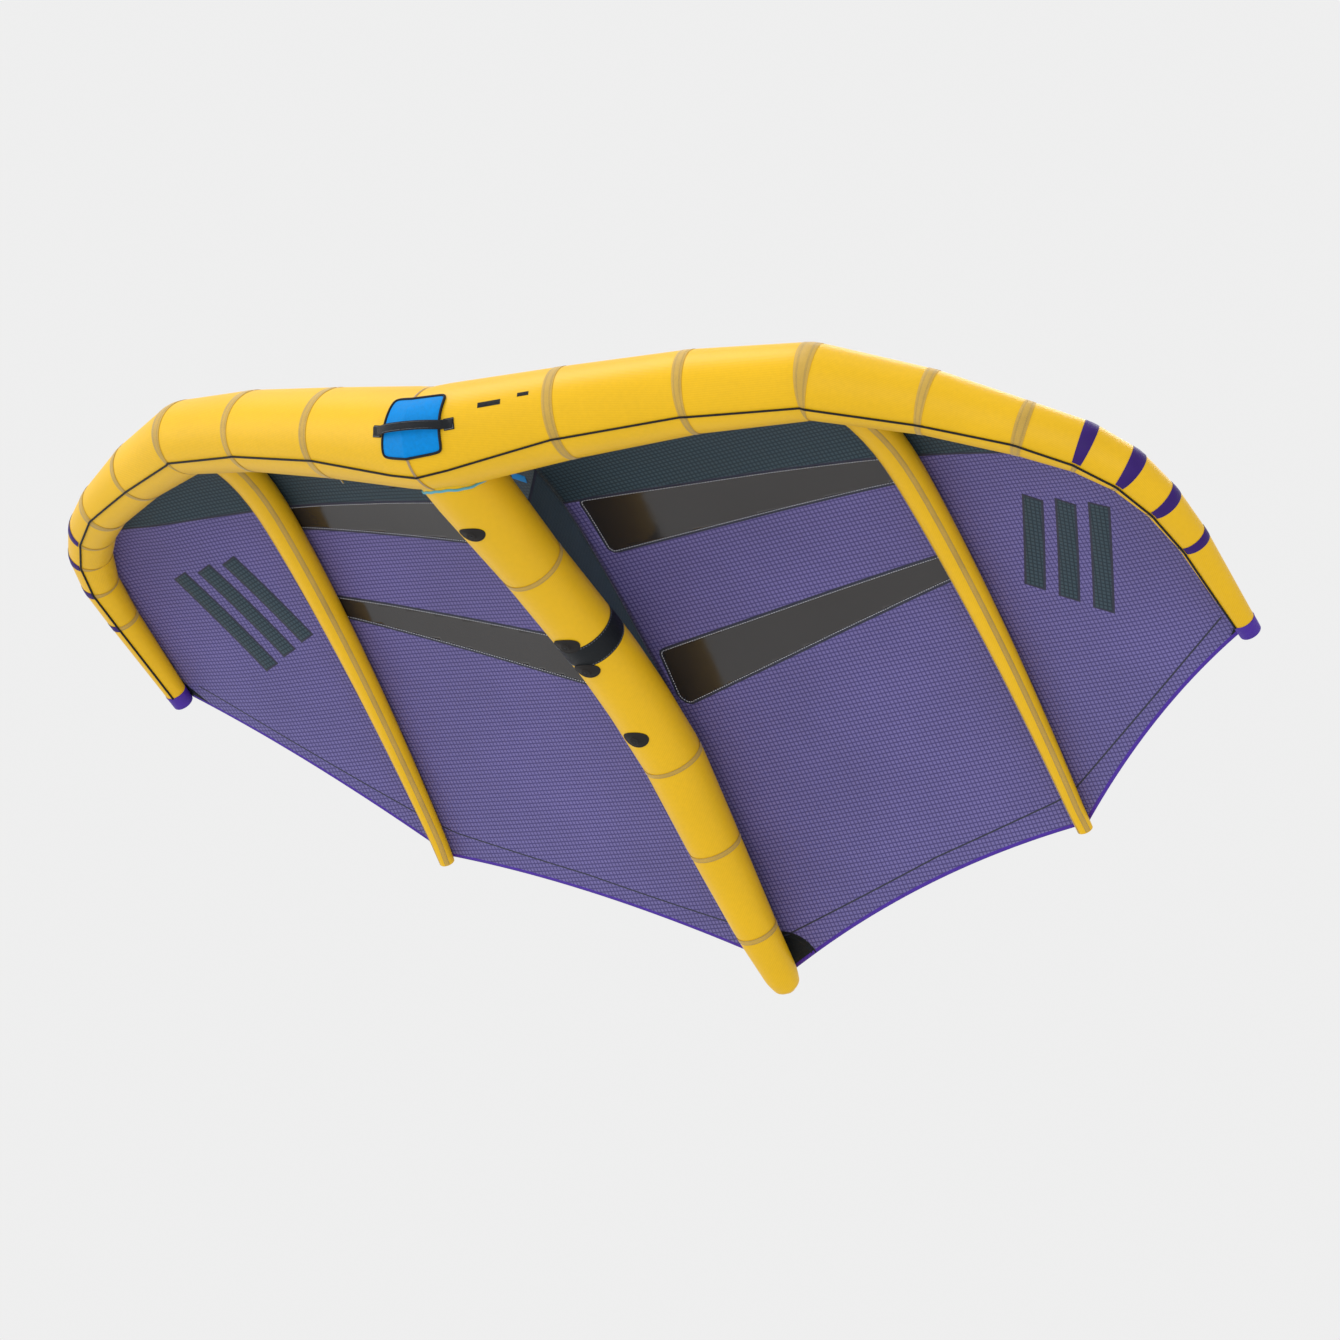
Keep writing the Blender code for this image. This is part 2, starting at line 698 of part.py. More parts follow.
def add_leading_edge(cutters):
    """Casing and bladder of the leading edge, with their holes, and the tip caps."""
    hole = (VALVE_RADIUS + CLEARANCE) / math.cos(math.pi / VALVE_SIDES)
    low, high = Vector((0.0, 0.0, -VALVE_DEPTH - CUT_OVERRUN)), Vector((0.0, 0.0, CUT_OVERRUN))
    valve_cutter = add_cutter("valve_cutter", rod(low, high, hole, VALVE_SIDES), valve_frame())
    skin = loft([LEADING.ring(place) for place in LEADING.stations], close_last=False)
    face_outward(skin, LEADING.stations[0].centre)
    casing = add_piece("leading_edge_casing", skin, "yellow_cloth")
    add_wall(casing, CASING_WALL)
    depth = CASING_WALL + CLEARANCE
    skin = loft([LEADING.ring(place, depth) for place in LEADING.stations], close_first=True)
    bladder = add_piece("leading_edge_bladder", skin, "film")
    add_wall(bladder, FILM_WALL)
    for cutter in [*cutters, valve_cutter]:
        add_cut(casing, cutter)
        add_cut(bladder, cutter)
    for side in (-1, 1):
        add_tip_cap(side)
    grown = [LEADING.ring(place, -CLEARANCE) for place in LEADING.stations]
    mouth_cutter = add_cutter("mouth_cutter", loft(grown, close_first=True))
    return valve_cutter, mouth_cutter


def add_tip_cap(side):
    """A cup over the end of the leading edge tube."""
    end = LEADING.runs[-1] * side
    runs = (end - side * TIP_CAP_LENGTH, end - side * TIP_CAP_LENGTH / 2.0, end)
    places = [LEADING.station(run) for run in runs]
    last = places[-1]
    ahead = (last.centre - places[0].centre).normalized()
    places.append(Station(last.centre + ahead * TIP_CAP_END, last.side, last.up, last.radius))
    depth = -(CLEARANCE + TIP_CAP_WALL)
    skin = loft([LEADING.ring(place, depth) for place in places])
    face_outward(skin, places[1].centre)
    cap = add_piece("tip_cap_" + SIDE_NAMES[side], skin, "violet_tape")
    add_wall(cap, TIP_CAP_WALL)


def add_strut(name, tube, side, mouth_cutter):
    """One strut: its casing, cut to the leading edge, and the bladder inside."""
    first = tube.stations[0]
    touch, direction = port_line(tube, side)
    mouth = [run_to_leading_edge(point, direction, -CUT_OVERRUN) for point in tube.ring(first)]
    rings = [mouth] + [tube.ring(place) for place in tube.stations]
    skin = loft(rings)
    face_outward(skin, first.centre)
    casing = add_piece(name + "_casing", skin, "yellow_cloth")
    add_wall(casing, CASING_WALL)
    add_cut(casing, mouth_cutter)
    depth = CASING_WALL + CLEARANCE
    necks = [(NECK_START, NECK_RADIUS), (NECK_LENGTH, NECK_RADIUS)]
    bladder_rings = []
    for reach, radius in necks:
        centre = touch - direction * reach
        bladder_rings.append(tube.ring(Station(centre, first.side, first.up, radius)))
    deepest = max((touch - point).dot(direction) for point in mouth)
    reach = max(deepest, NECK_LENGTH) + SHOULDER_LENGTH
    shoulder = touch - direction * reach
    if (first.centre - shoulder).dot(-direction) > 0.0:
        bladder_rings.append(tube.ring(Station(shoulder, first.side, first.up, first.radius), depth + SNAP))
    bladder_rings += [tube.ring(place, depth) for place in tube.stations[:-2]]
    skin = loft(bladder_rings)
    face_outward(skin, first.centre)
    bladder = add_piece(name + "_bladder", skin, "film")
    add_wall(bladder, FILM_WALL)


def canopy_columns(side):
    """Cuts along the chord: at each leading edge seam and half-way between the wide ones."""
    columns = []
    for left, right in zip(ATTACH_X, ATTACH_X[1:]):
        columns.append(right)
        if right - left > HALF_SPAN * WIDE_BAY_SHARE:
            columns.append((left + right) / 2.0)
    return [side * x for x in columns]


def canopy_sheet(outline, side, wall=CANOPY_WALL, lift=0.0):
    """A panel of the canopy, from its outline on the right half seen from above."""
    outline = [(side * x, y) for x, y in outline]
    rows = [share * CENTRE_CHORD for share in CANOPY_ROW_SHARES]
    front = read_table(ATTACH_X, ATTACH_Y, STRUT_X)
    along = Vector((side * (TAIL_X - STRUT_X), TAIL_Y - front, 0.0))
    slanted = ((side * STRUT_X, front, 0.0), (along.y, -along.x, 0.0))
    return laid_sheet(
        outline, canopy_columns(side), rows,
        lambda x, y: canopy_point(x, y, lift),
        lambda x, y: canopy_point(x, y, lift + wall),
        SEAM_GAP, slanted,
    )


def seam_y(x):
    """The seam between the front panel and the main panel."""
    share = min(x / HALF_SPAN / LEADING_X_SHARES[4], 1.0)
    return CENTRE_CHORD * between(SEAM_MIDDLE_SHARE, SEAM_TIP_SHARE, share)


def edge_points(start, end, inset):
    """Points along the trailing edge between two distances from the middle."""
    places = [start] + [x for x in REAR_X if start + SNAP < x < end - SNAP] + [end]
    return [(x, read_table(REAR_X, REAR_Y, x) - inset) for x in places]


def seam_meets_front():
    """Where the front seam runs out on the leading edge."""
    low, high = STRUT_X, ATTACH_X[-1]
    for _ in range(40):
        middle = (low + high) / 2.0
        if read_table(ATTACH_X, ATTACH_Y, middle) < seam_y(middle):
            low = middle
        else:
            high = middle
    return low


def window_outlines():
    """The two windows of one inner bay, front one first."""
    chord = CENTRE_CHORD
    (near_x, _), (next_x, next_y) = FRONT_WINDOW_INNER_SHARES
    outer_front = FRONT_WINDOW_OUTER_SHARE * chord
    front = [
        (near_x * HALF_SPAN, seam_y(near_x * HALF_SPAN)),
        (strut_line_x(seam_y(STRUT_X)), seam_y(STRUT_X)),
        (strut_line_x(outer_front), outer_front),
        (next_x * HALF_SPAN, next_y * chord),
        (near_x * HALF_SPAN, next_y * chord - (next_x - near_x) * HALF_SPAN),
    ]
    top_in, top_out = [share * chord for share in REAR_WINDOW_TOP_SHARES]
    low_in, low_out = [share * chord for share in REAR_WINDOW_BOTTOM_SHARES]
    upper_x, corner_x, lower_x = [share * HALF_SPAN for share in REAR_WINDOW_INNER_X_SHARES]
    rear = [
        (upper_x, top_in),
        (strut_line_x(top_out), top_out),
        (strut_line_x(low_out), low_out),
        (lower_x, low_in),
        (corner_x, REAR_WINDOW_CORNER_SHARE * chord),
    ]
    return front, rear


def add_canopy(side):
    """Every sewn panel of one half of the canopy."""
    name = SIDE_NAMES[side]
    last_x = seam_meets_front()
    reached = [index for index, x in enumerate(ATTACH_X) if x < last_x - SNAP]
    front_line = [(ATTACH_X[index], ATTACH_Y[index]) for index in reached]
    seam_end = (last_x, seam_y(last_x))
    window_front, window_rear = window_outlines()
    strut_seam = (strut_line_x(seam_y(STRUT_X)), seam_y(STRUT_X))
    knee = (HALF_SPAN * LEADING_X_SHARES[4], seam_y(HALF_SPAN * LEADING_X_SHARES[4]))
    front = front_line + [seam_end, knee, strut_seam, window_front[0], (0.0, seam_y(0.0))]
    add_piece("canopy_front_panel_" + name, canopy_sheet(front, side), "teal_cloth")
    add_piece("window_front_" + name, canopy_sheet(window_front, side), "window_film")
    add_piece("window_rear_" + name, canopy_sheet(window_rear, side), "window_film")
    tail_x = TAIL_PATCH_WIDTH
    tail_start = (0.0, CENTRE_CHORD - EDGE_TAPE_WIDTH - TAIL_PATCH_LENGTH)
    inner_edge = edge_points(tail_x, TAIL_X, EDGE_TAPE_WIDTH)
    main = [(0.0, seam_y(0.0)), window_front[0], window_front[4], window_front[3], window_front[2],
            window_rear[1], window_rear[0], window_rear[4], window_rear[3], window_rear[2]]
    main += inner_edge[::-1] + [tail_start]
    add_piece("canopy_inner_panel_" + name, canopy_sheet(main, side), "violet_cloth")
    tail = [tail_start, inner_edge[0], (0.0, CENTRE_CHORD - EDGE_TAPE_WIDTH)]
    add_piece("tail_patch_" + name, canopy_sheet(tail, side), "black_cloth")
    tip_y = between(ATTACH_Y[-2], ATTACH_Y[-1], TIP_PATCH_SHARE)
    tip_start = (read_table(ATTACH_Y[-2:], ATTACH_X[-2:], tip_y), tip_y)
    edge_end = ATTACH_X[-1] - EDGE_TAPE_WIDTH
    outer_edge = edge_points(TAIL_X, edge_end - TIP_PATCH_WIDTH, EDGE_TAPE_WIDTH)
    past = [(ATTACH_X[index], ATTACH_Y[index]) for index in range(reached[-1] + 1, TIP_INDEX)]
    outer = [strut_seam, knee, seam_end] + past + [tip_start] + outer_edge[::-1]
    add_piece("canopy_outer_panel_" + name, canopy_sheet(outer, side), "violet_cloth")
    corner = edge_points(TAIL_X, edge_end, EDGE_TAPE_WIDTH)[-1]
    tip = [tip_start, corner, outer_edge[-1]]
    add_piece("tip_patch_" + name, canopy_sheet(tip, side), "black_cloth")
    for bay, start, end in (("inner", 0.0, TAIL_X), ("outer", TAIL_X, edge_end)):
        strip = edge_points(start, end, 0.0) + edge_points(start, end, EDGE_TAPE_WIDTH)[::-1]
        tape = canopy_sheet(strip, side, EDGE_TAPE_WALL)
        add_piece("trailing_edge_tape_" + bay + "_" + name, tape, "violet_tape")


def add_web():
    """The upright rib of cloth between the centre strut and the canopy."""
    end = WEB_TAIL_SHARE * CENTRE_CHORD
    tail_seam = CENTRE_CHORD - EDGE_TAPE_WIDTH - TAIL_PATCH_LENGTH
    folds = [ATTACH_Y[0], seam_y(0.0), tail_seam, CENTRE_CHORD - EDGE_TAPE_WIDTH]
    folds = sorted(folds + [share * CENTRE_CHORD for share in CANOPY_ROW_SHARES])
    heights = [canopy_point(0.0, y).z for y in folds]
    upper = [WEB_FRONT - WEB_FRONT_SLANT] + [y for y in folds if WEB_FRONT < y < end] + [end]
    lower = [WEB_FRONT] + [top.y for top in CENTRE_TOPS if WEB_FRONT < top.y < end] + [end]
    outline = [(y, read_table(folds, heights, y) - CLEARANCE) for y in upper]
    outline += [(y, centre_strut_top(y) + CLEARANCE) for y in lower[::-1]]
    bm = bmesh.new()
    for x in (-WEB_WALL / 2.0, WEB_WALL / 2.0):
        bm.faces.new([bm.verts.new((x, y, z)) for y, z in outline])
    bmesh.ops.bridge_loops(bm, edges=bm.edges[:])
    bmesh.ops.triangulate(bm, faces=bm.faces[:])
    turn_outward(bm)
    add_piece("centre_web", bm, "navy_cloth")


def add_piping():
    """The dark cord sewn along the front of the leading edge, from tip to tip."""
    angles = list(PIPING_ANGLES[:0:-1]) + list(PIPING_ANGLES)
    lift = PIPING_RADIUS + 2.0 * CLEARANCE
    rings = []
    for place, angle in zip(LEADING.stations, angles):
        turn = math.radians(angle)
        outward = place.side * math.sin(turn) - place.up * math.cos(turn)
        centre = place.centre + outward * (place.radius + lift)
        rings.append([
            centre + PIPING_RADIUS * (math.cos(step * 2.0 * math.pi / PIPING_SIDES) * place.up
                                      + math.sin(step * 2.0 * math.pi / PIPING_SIDES) * place.side)
            for step in range(PIPING_SIDES)
        ])
    rings = rings[1:-1]
    add_piece("leading_edge_piping", loft(rings, close_first=True), "black_cloth")


def add_handle_mounts():
    """Four saddles under the centre strut, each with its threaded insert."""
    for index, name in enumerate(MOUNT_NAMES):
        run = mount_run(index)
        radius = CENTRE.station(run).radius
        outline = []
        for step in range(SADDLE_POINTS):
            turn = 2.0 * math.pi * (step + 0.5) / SADDLE_POINTS
            angle = math.degrees(SADDLE_HALF_WIDTH * math.sin(turn) / radius)
            outline.append((run + SADDLE_HALF_LENGTH * math.cos(turn), angle))
        frame = surface_frame(CENTRE, run, 0.0)
        lift = mount_lift(index)
        face = lift + BOSS_HEIGHT
        core = INSERT_RADIUS + CLEARANCE
        root = lift + SADDLE_WALL / 2.0
        boss = turned([(0.0, root), (BOSS_RADIUS, root), (BOSS_RADIUS, face), (0.0, face)], PORT_SIDES)
        boss_cutter = add_cutter("boss_" + name, boss, frame)
        low, high = Vector((0.0, 0.0, -CUT_OVERRUN)), Vector((0.0, 0.0, CUT_OVERRUN + face))
        bore = add_cutter("bore_" + name, rod(low, high, core, PORT_SIDES), frame)
        sheet = tube_sheet(CENTRE, outline, SADDLE_WALL, lift)
        saddle = add_piece("handle_mount_" + name, sheet, "black_rubber")
        add_cut(saddle, boss_cutter, "UNION")
        add_cut(saddle, bore)
        reach = INSERT_RADIUS * math.cos(math.pi / PORT_SIDES)
        profile = [(reach, lift), (reach, face - CLEARANCE),
                   (INSERT_BORE, face - CLEARANCE), (INSERT_BORE, lift)]
        add_piece("threaded_insert_" + name, turned(profile, PORT_SIDES), "steel", frame)


def add_strut_band():
    """The dark band round the centre strut, open at the top for the web."""
    middle = (mount_run(1) + mount_run(2)) / 2.0
    low, high = middle - BAND_WIDTH / 2.0, middle + BAND_WIDTH / 2.0
    outline = [(low, -BAND_HALF_ANGLE), (high, -BAND_HALF_ANGLE),
               (high, BAND_HALF_ANGLE), (low, BAND_HALF_ANGLE)]
    add_piece("strut_band", tube_sheet(CENTRE, outline, BAND_WALL), "black_cloth")


def strap_axis():
    """The line that the carrying strap swings about, from left to right, and its up."""
    seat = CLEARANCE + ANCHOR_WALL + STRAP_SEAT
    left = LEADING.point(-STRAP_LEFT, STRAP_ANGLE, seat)
    right = LEADING.point(STRAP_RIGHT, STRAP_ANGLE, seat)
    outward = (LEADING.point(0.0, STRAP_ANGLE, seat) - LEADING.station(0.0).centre).normalized()
    along = (right - left).normalized()
    outward = (outward - along * outward.dot(along)).normalized()
    return left, right, outward


def add_carrying_handle():
    """Foam pad, two sewn anchors and the webbing strap over the pad."""
    middle = (PAD_LOW_ANGLE + PAD_HIGH_ANGLE) / 2.0
    waist_left = PAD_WAIST - (PAD_LEFT_LOW + PAD_LEFT_HIGH) / 2.0
    waist_right = (PAD_RIGHT_LOW + PAD_RIGHT_HIGH) / 2.0 - PAD_WAIST
    outline = [
        (-PAD_LEFT_LOW, PAD_LOW_ANGLE), (PAD_RIGHT_LOW, PAD_LOW_ANGLE), (waist_right, middle),
        (PAD_RIGHT_HIGH, PAD_HIGH_ANGLE), (-PAD_LEFT_HIGH, PAD_HIGH_ANGLE), (waist_left, middle),
    ]
    add_piece("carrying_handle_pad", tube_sheet(LEADING, outline, PAD_WALL), "blue_foam")
    for side, run in ((-1, -STRAP_LEFT), (1, STRAP_RIGHT)):
        spread = math.degrees(ANCHOR_WIDTH / 2.0 / NOSE_RADIUS)
        ends = sorted((run - side * STRAP_HEM_RADIUS * 2.0, run + side * ANCHOR_LENGTH))
        outline = [(ends[0], STRAP_ANGLE - spread), (ends[1], STRAP_ANGLE - spread),
                   (ends[1], STRAP_ANGLE + spread), (ends[0], STRAP_ANGLE + spread)]
        add_piece("strap_anchor_" + SIDE_NAMES[side], tube_sheet(LEADING, outline, ANCHOR_WALL), "webbing")
    add_strap()


def add_strap():
    """The webbing arch: its hemmed ends lie on the line that it swings about."""
    left, right, outward = strap_axis()
    along = (right - left).normalized()
    across = outward.cross(along)
    middle_run = (STRAP_RIGHT - STRAP_LEFT) / 2.0
    crown = LEADING.point(middle_run, STRAP_ANGLE, CLEARANCE + PAD_WALL + STRAP_CLEAR)
    height = (crown - left).dot(outward)
    length = (right - left).length
    heights = [(0.0, 0.0)] + list(STRAP_RISE_SHARES)
    heights += [(1.0 - share, rise) for share, rise in STRAP_RISE_SHARES[-2::-1]] + [(1.0, 0.0)]
    floor = STRAP_HEM_RADIUS - STRAP_WALL
    half = STRAP_WIDTH / 2.0
    rings = []
    for share, rise in heights:
        middle = left + along * (length * share) + outward * (floor + (height - floor) * rise)
        top = outward * STRAP_WALL
        rings.append([middle - across * half, middle + across * half,
                      middle + across * half + top, middle - across * half + top])
    bm = loft(rings, close_first=True)
    strap = add_piece("carrying_strap", bm, "webbing")
    pivot = (left + right) / 2.0
    strap.data.transform(Matrix.Translation(-pivot))
    strap.location = pivot
    for name, end, reach in (("left", left, -1.0), ("right", right, 1.0)):
        inner = end - along * (reach * STRAP_HEM_RADIUS)
        outer = end + along * (reach * STRAP_HEM_RADIUS)
        hem = rod(inner, outer, STRAP_HEM_RADIUS, PIN_SIDES)
        add_cut(strap, add_cutter("hem_" + name, hem), "UNION")


def add_valve(valve_cutter):
    """Flange, body, non-return plunger, cap and the collar that holds the cap."""
    frame = valve_frame()
    outline = []
    radius = LEADING.station(VALVE_PLACE).radius
    flat = LEADING.facet_middle(VALVE_ANGLE)
    for step in range(SADDLE_POINTS):
        turn = 2.0 * math.pi * (step + 0.5) / SADDLE_POINTS
        angle = flat + math.degrees(FLANGE_RADIUS * math.sin(turn) / radius)
        outline.append((VALVE_PLACE + FLANGE_RADIUS * math.cos(turn), angle))
    flange = add_piece("valve_flange", tube_sheet(LEADING, outline, FLANGE_WALL), "grey_plastic")
    add_cut(flange, valve_cutter)
    stem_hole = STEM_RADIUS + STEM_CLEAR
    bore = VALVE_RADIUS - VALVE_WALL
    floor_top = -VALVE_DEPTH + VALVE_FLOOR
    body = [(stem_hole, -VALVE_DEPTH), (VALVE_RADIUS, -VALVE_DEPTH), (VALVE_RADIUS, VALVE_HEIGHT),
            (bore, VALVE_HEIGHT), (bore, floor_top), (stem_hole, floor_top)]
    add_piece("valve_body", turned(body, VALVE_SIDES), "grey_plastic", frame)
    button = floor_top + BUTTON_LIFT
    seal = -VALVE_DEPTH - CLEARANCE
    plunger = [(0.0, seal - SEAL_HEIGHT), (SEAL_RADIUS, seal - SEAL_HEIGHT), (SEAL_RADIUS, seal),
               (STEM_RADIUS, seal), (STEM_RADIUS, button), (BUTTON_RADIUS, button),
               (BUTTON_RADIUS, button + BUTTON_HEIGHT), (0.0, button + BUTTON_HEIGHT)]
    add_piece("valve_plunger", turned(plunger, VALVE_SIDES), "black_rubber", frame)
    add_valve_cap(frame)


def add_valve_cap(frame):
    """The cap hinges on the collar's ear, over the edge of the valve body."""
    collar_low = VALVE_HEIGHT - CLEARANCE - 2.0 * COLLAR_HEIGHT
    inner = (VALVE_RADIUS + CLEARANCE) / math.cos(math.pi / VALVE_SIDES)
    ring = [(inner, collar_low), (inner + COLLAR_WALL, collar_low),
            (inner + COLLAR_WALL, collar_low + COLLAR_HEIGHT), (inner, collar_low + COLLAR_HEIGHT)]
    hinge_height = VALVE_HEIGHT + CLEARANCE
    shelf_low, shelf_high = collar_low + CLEARANCE, collar_low + COLLAR_HEIGHT - CLEARANCE
    back, front = -HINGE_OUT - COLLAR_WALL / 2.0, -HINGE_OUT + COLLAR_WALL / 2.0
    outline = [(back, shelf_low), (-inner - COLLAR_WALL / 2.0, shelf_low),
               (-inner - COLLAR_WALL / 2.0, shelf_high), (front, shelf_high),
               (front, hinge_height - CLEARANCE), (back, hinge_height - CLEARANCE)]
    ear = prism(outline, -EAR_WIDTH / 2.0, EAR_WIDTH / 2.0, "Y")
    collar = add_piece("valve_cap_collar", turned(ring, VALVE_SIDES), "black_rubber", frame)
    add_cut(collar, add_cutter("ear", ear, frame), "UNION")
    plug_end, cap_top = hinge_height - PLUG_HEIGHT, hinge_height + CAP_HEIGHT
    plug = [(0.0, plug_end), (PLUG_RADIUS, plug_end), (PLUG_RADIUS, hinge_height),
            (VALVE_RADIUS, hinge_height), (VALVE_RADIUS, cap_top), (0.0, cap_top)]
    arm = bmesh.new()
    add_box(arm, (-HINGE_OUT - COLLAR_WALL / 2.0, -EAR_WIDTH / 2.0, hinge_height + CLEARANCE),
            (-VALVE_RADIUS / 2.0, EAR_WIDTH / 2.0, cap_top - CLEARANCE))
    pivot = Vector((-HINGE_OUT - COLLAR_WALL / 2.0, 0.0, hinge_height))
    cap_mesh = turned(plug, VALVE_SIDES)
    bmesh.ops.translate(cap_mesh, verts=cap_mesh.verts[:], vec=-pivot)
    bmesh.ops.translate(arm, verts=arm.verts[:], vec=-pivot)
    hinge = frame @ Matrix.Translation(pivot)
    cap = add_piece("valve_cap", cap_mesh, "black_rubber", hinge)
    add_cut(cap, add_cutter("cap_arm", arm, hinge), "UNION")


def zip_frame():
    """Axes of the zip where its slider stands closed."""
    return surface_frame(LEADING, ZIP_START - SLIDER_LENGTH, ZIP_ANGLE)


def add_zip():
    """Access zip for the bladder: tape, coil, slider and pull."""
    flat = LEADING.facet_middle(ZIP_ANGLE)
    strips = (("access_zip_tape", ZIP_TAPE_WIDTH, ZIP_TAPE_WALL, CLEARANCE, "black_cloth"),
              ("access_zip_coil", ZIP_COIL_WIDTH, ZIP_COIL_HEIGHT, 2.0 * CLEARANCE + ZIP_TAPE_WALL,
               "grey_plastic"))
    for name, width, wall, lift, finish in strips:
        spread = math.degrees(width / 2.0 / LEADING.station(ZIP_START).radius)
        outline = [(ZIP_END, flat - spread), (ZIP_START, flat - spread),
                   (ZIP_START, flat + spread), (ZIP_END, flat + spread)]
        add_piece(name, tube_sheet(LEADING, outline, wall, lift), finish)
    add_slider()


def add_slider():
    """The slider straddles the coil; its pull turns on a pin between two ears."""
    frame = zip_frame()
    base = 3.0 * CLEARANCE + ZIP_TAPE_WALL
    coil_top = base + ZIP_COIL_HEIGHT + CLEARANCE
    half = ZIP_COIL_WIDTH / 2.0 + 2.0 * CLEARANCE
    length = SLIDER_LENGTH / 2.0
    roof = coil_top + SLIDER_WALL
    outline = [(-half - SLIDER_WALL, base), (-half, base), (-half, coil_top), (half, coil_top),
               (half, base), (half + SLIDER_WALL, base), (half + SLIDER_WALL, roof),
               (-half - SLIDER_WALL, roof)]
    body = prism(outline, -length, length, "X")
    slider = add_piece("access_zip_slider", body, "steel", frame)
    gap = PULL_WIDTH / 2.0 + CLEARANCE
    pin_height = roof + EAR_HEIGHT / 2.0 + CLEARANCE
    ears = bmesh.new()
    ear_half, ear_root = EAR_HEIGHT / 2.0, roof - SLIDER_WALL / 2.0
    for low, high in ((-gap - SLIDER_WALL, -gap), (gap, gap + SLIDER_WALL)):
        add_box(ears, (-ear_half, low, ear_root), (ear_half, high, roof + EAR_HEIGHT))
    add_cut(slider, add_cutter("slider_ears", ears, frame), "UNION")
    hole = (PULL_PIN_RADIUS + CLEARANCE) / math.cos(math.pi / PIN_SIDES)
    reach = Vector((0.0, gap + SLIDER_WALL * 2.0, 0.0))
    pin_middle = Vector((0.0, 0.0, pin_height))
    pin_hole = rod(pin_middle - reach, pin_middle + reach, hole, PIN_SIDES)
    add_cut(slider, add_cutter("pin_hole", pin_hole, frame))
    rows = frame.to_3x3().transposed()
    hang = math.atan2(-rows[0].z, -rows[2].z)
    hinge = frame @ Matrix.Translation(pin_middle) @ Matrix.Rotation(hang, 4, "Y")
    pull = bmesh.new()
    half_wall, half_width = PULL_WALL / 2.0, PULL_WIDTH / 2.0
    add_box(pull, (-half_wall, -half_width, -PULL_WALL), (half_wall, half_width, PULL_LENGTH))
    pull_piece = add_piece("access_zip_pull", pull, "steel", hinge)
    pin_reach = Vector((0.0, gap + SLIDER_WALL, 0.0))
    pin = rod(-pin_reach, pin_reach, PULL_PIN_RADIUS, PIN_SIDES)
    add_cut(pull_piece, add_cutter("pull_pin", pin, hinge), "UNION")


def build():
    clear_scene()
    origin_empty()
    cutters = add_ports()
    valve_cutter, mouth_cutter = add_leading_edge(cutters)
    add_strut("centre_strut", CENTRE, 0, mouth_cutter)
    for side in (-1, 1):
        add_strut("strut_" + SIDE_NAMES[side], OUTER[side], side, mouth_cutter)
        add_canopy(side)
    add_web()
    add_piping()
    add_handle_mounts()
    add_strut_band()
    add_carrying_handle()
    add_valve(valve_cutter)
    add_zip()


build()
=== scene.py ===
"""Looks of an inflatable hand-held wing: cloth, film, tapes, foam, webbing and fittings.

Lengths are in metres, angles in degrees. The wing is laid out with the middle of its
leading edge at zero, +X along the span, +Y back and +Z up to the canopy, and each finished
piece is moved into the frame by the place of the trailing edge tape there.
"""
import json
import math

import bmesh
import bpy
from mathutils import Matrix, Vector


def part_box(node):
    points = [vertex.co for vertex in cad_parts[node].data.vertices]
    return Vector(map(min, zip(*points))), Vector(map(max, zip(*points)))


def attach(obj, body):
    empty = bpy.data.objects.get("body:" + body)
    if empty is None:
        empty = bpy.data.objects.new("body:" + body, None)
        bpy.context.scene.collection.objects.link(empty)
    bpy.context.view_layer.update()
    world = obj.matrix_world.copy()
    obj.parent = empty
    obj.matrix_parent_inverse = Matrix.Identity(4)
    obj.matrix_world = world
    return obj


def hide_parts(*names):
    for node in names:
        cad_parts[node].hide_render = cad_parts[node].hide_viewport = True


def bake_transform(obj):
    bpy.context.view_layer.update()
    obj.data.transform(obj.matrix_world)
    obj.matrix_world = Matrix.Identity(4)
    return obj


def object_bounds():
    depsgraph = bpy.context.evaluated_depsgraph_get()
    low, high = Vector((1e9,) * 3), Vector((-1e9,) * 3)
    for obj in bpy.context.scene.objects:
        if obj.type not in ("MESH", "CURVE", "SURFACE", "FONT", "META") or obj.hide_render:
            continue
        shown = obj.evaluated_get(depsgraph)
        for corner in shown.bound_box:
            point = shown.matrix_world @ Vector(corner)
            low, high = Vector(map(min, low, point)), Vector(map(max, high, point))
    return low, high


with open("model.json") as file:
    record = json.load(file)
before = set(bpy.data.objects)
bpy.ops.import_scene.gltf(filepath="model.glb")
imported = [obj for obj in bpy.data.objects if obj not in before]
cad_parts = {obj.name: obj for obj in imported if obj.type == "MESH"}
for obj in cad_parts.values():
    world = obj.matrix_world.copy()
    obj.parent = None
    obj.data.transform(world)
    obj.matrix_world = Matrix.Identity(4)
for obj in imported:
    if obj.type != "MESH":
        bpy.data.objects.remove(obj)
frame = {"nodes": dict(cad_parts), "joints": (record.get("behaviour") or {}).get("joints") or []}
CAD_LOW, CAD_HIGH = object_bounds()

# Sizes shared with the solids
HALF_SPAN = 2.05
TIP_SWEEP = 1.32
TIP_RISE = 0.386
NOSE_RADIUS = 0.158
CENTRE_CHORD = 2.300
CENTRE_TAIL_OVERHANG = 0.024
CENTRE_STRUT_RADIUS = 0.118
CENTRE_STRUT_ARCH = 0.118
OUTER_STRUT_RADIUS = 0.056
OUTER_STRUT_OVERHANG = 0.012
CANOPY_CAMBER = 0.185
SCALLOP_INNER = 0.060
SCALLOP_OUTER = 0.045
LEADING_X_SHARES = (0.0, 0.2143, 0.4064, 0.5812, 0.7326, 0.8553, 0.9226, 0.9663, 0.9905, 0.9991, 1.0)
LEADING_Y_SHARES = (0.0, 0.0136, 0.0428, 0.0899, 0.2041, 0.316, 0.3987, 0.4824, 0.5841, 0.7094, 1.0)
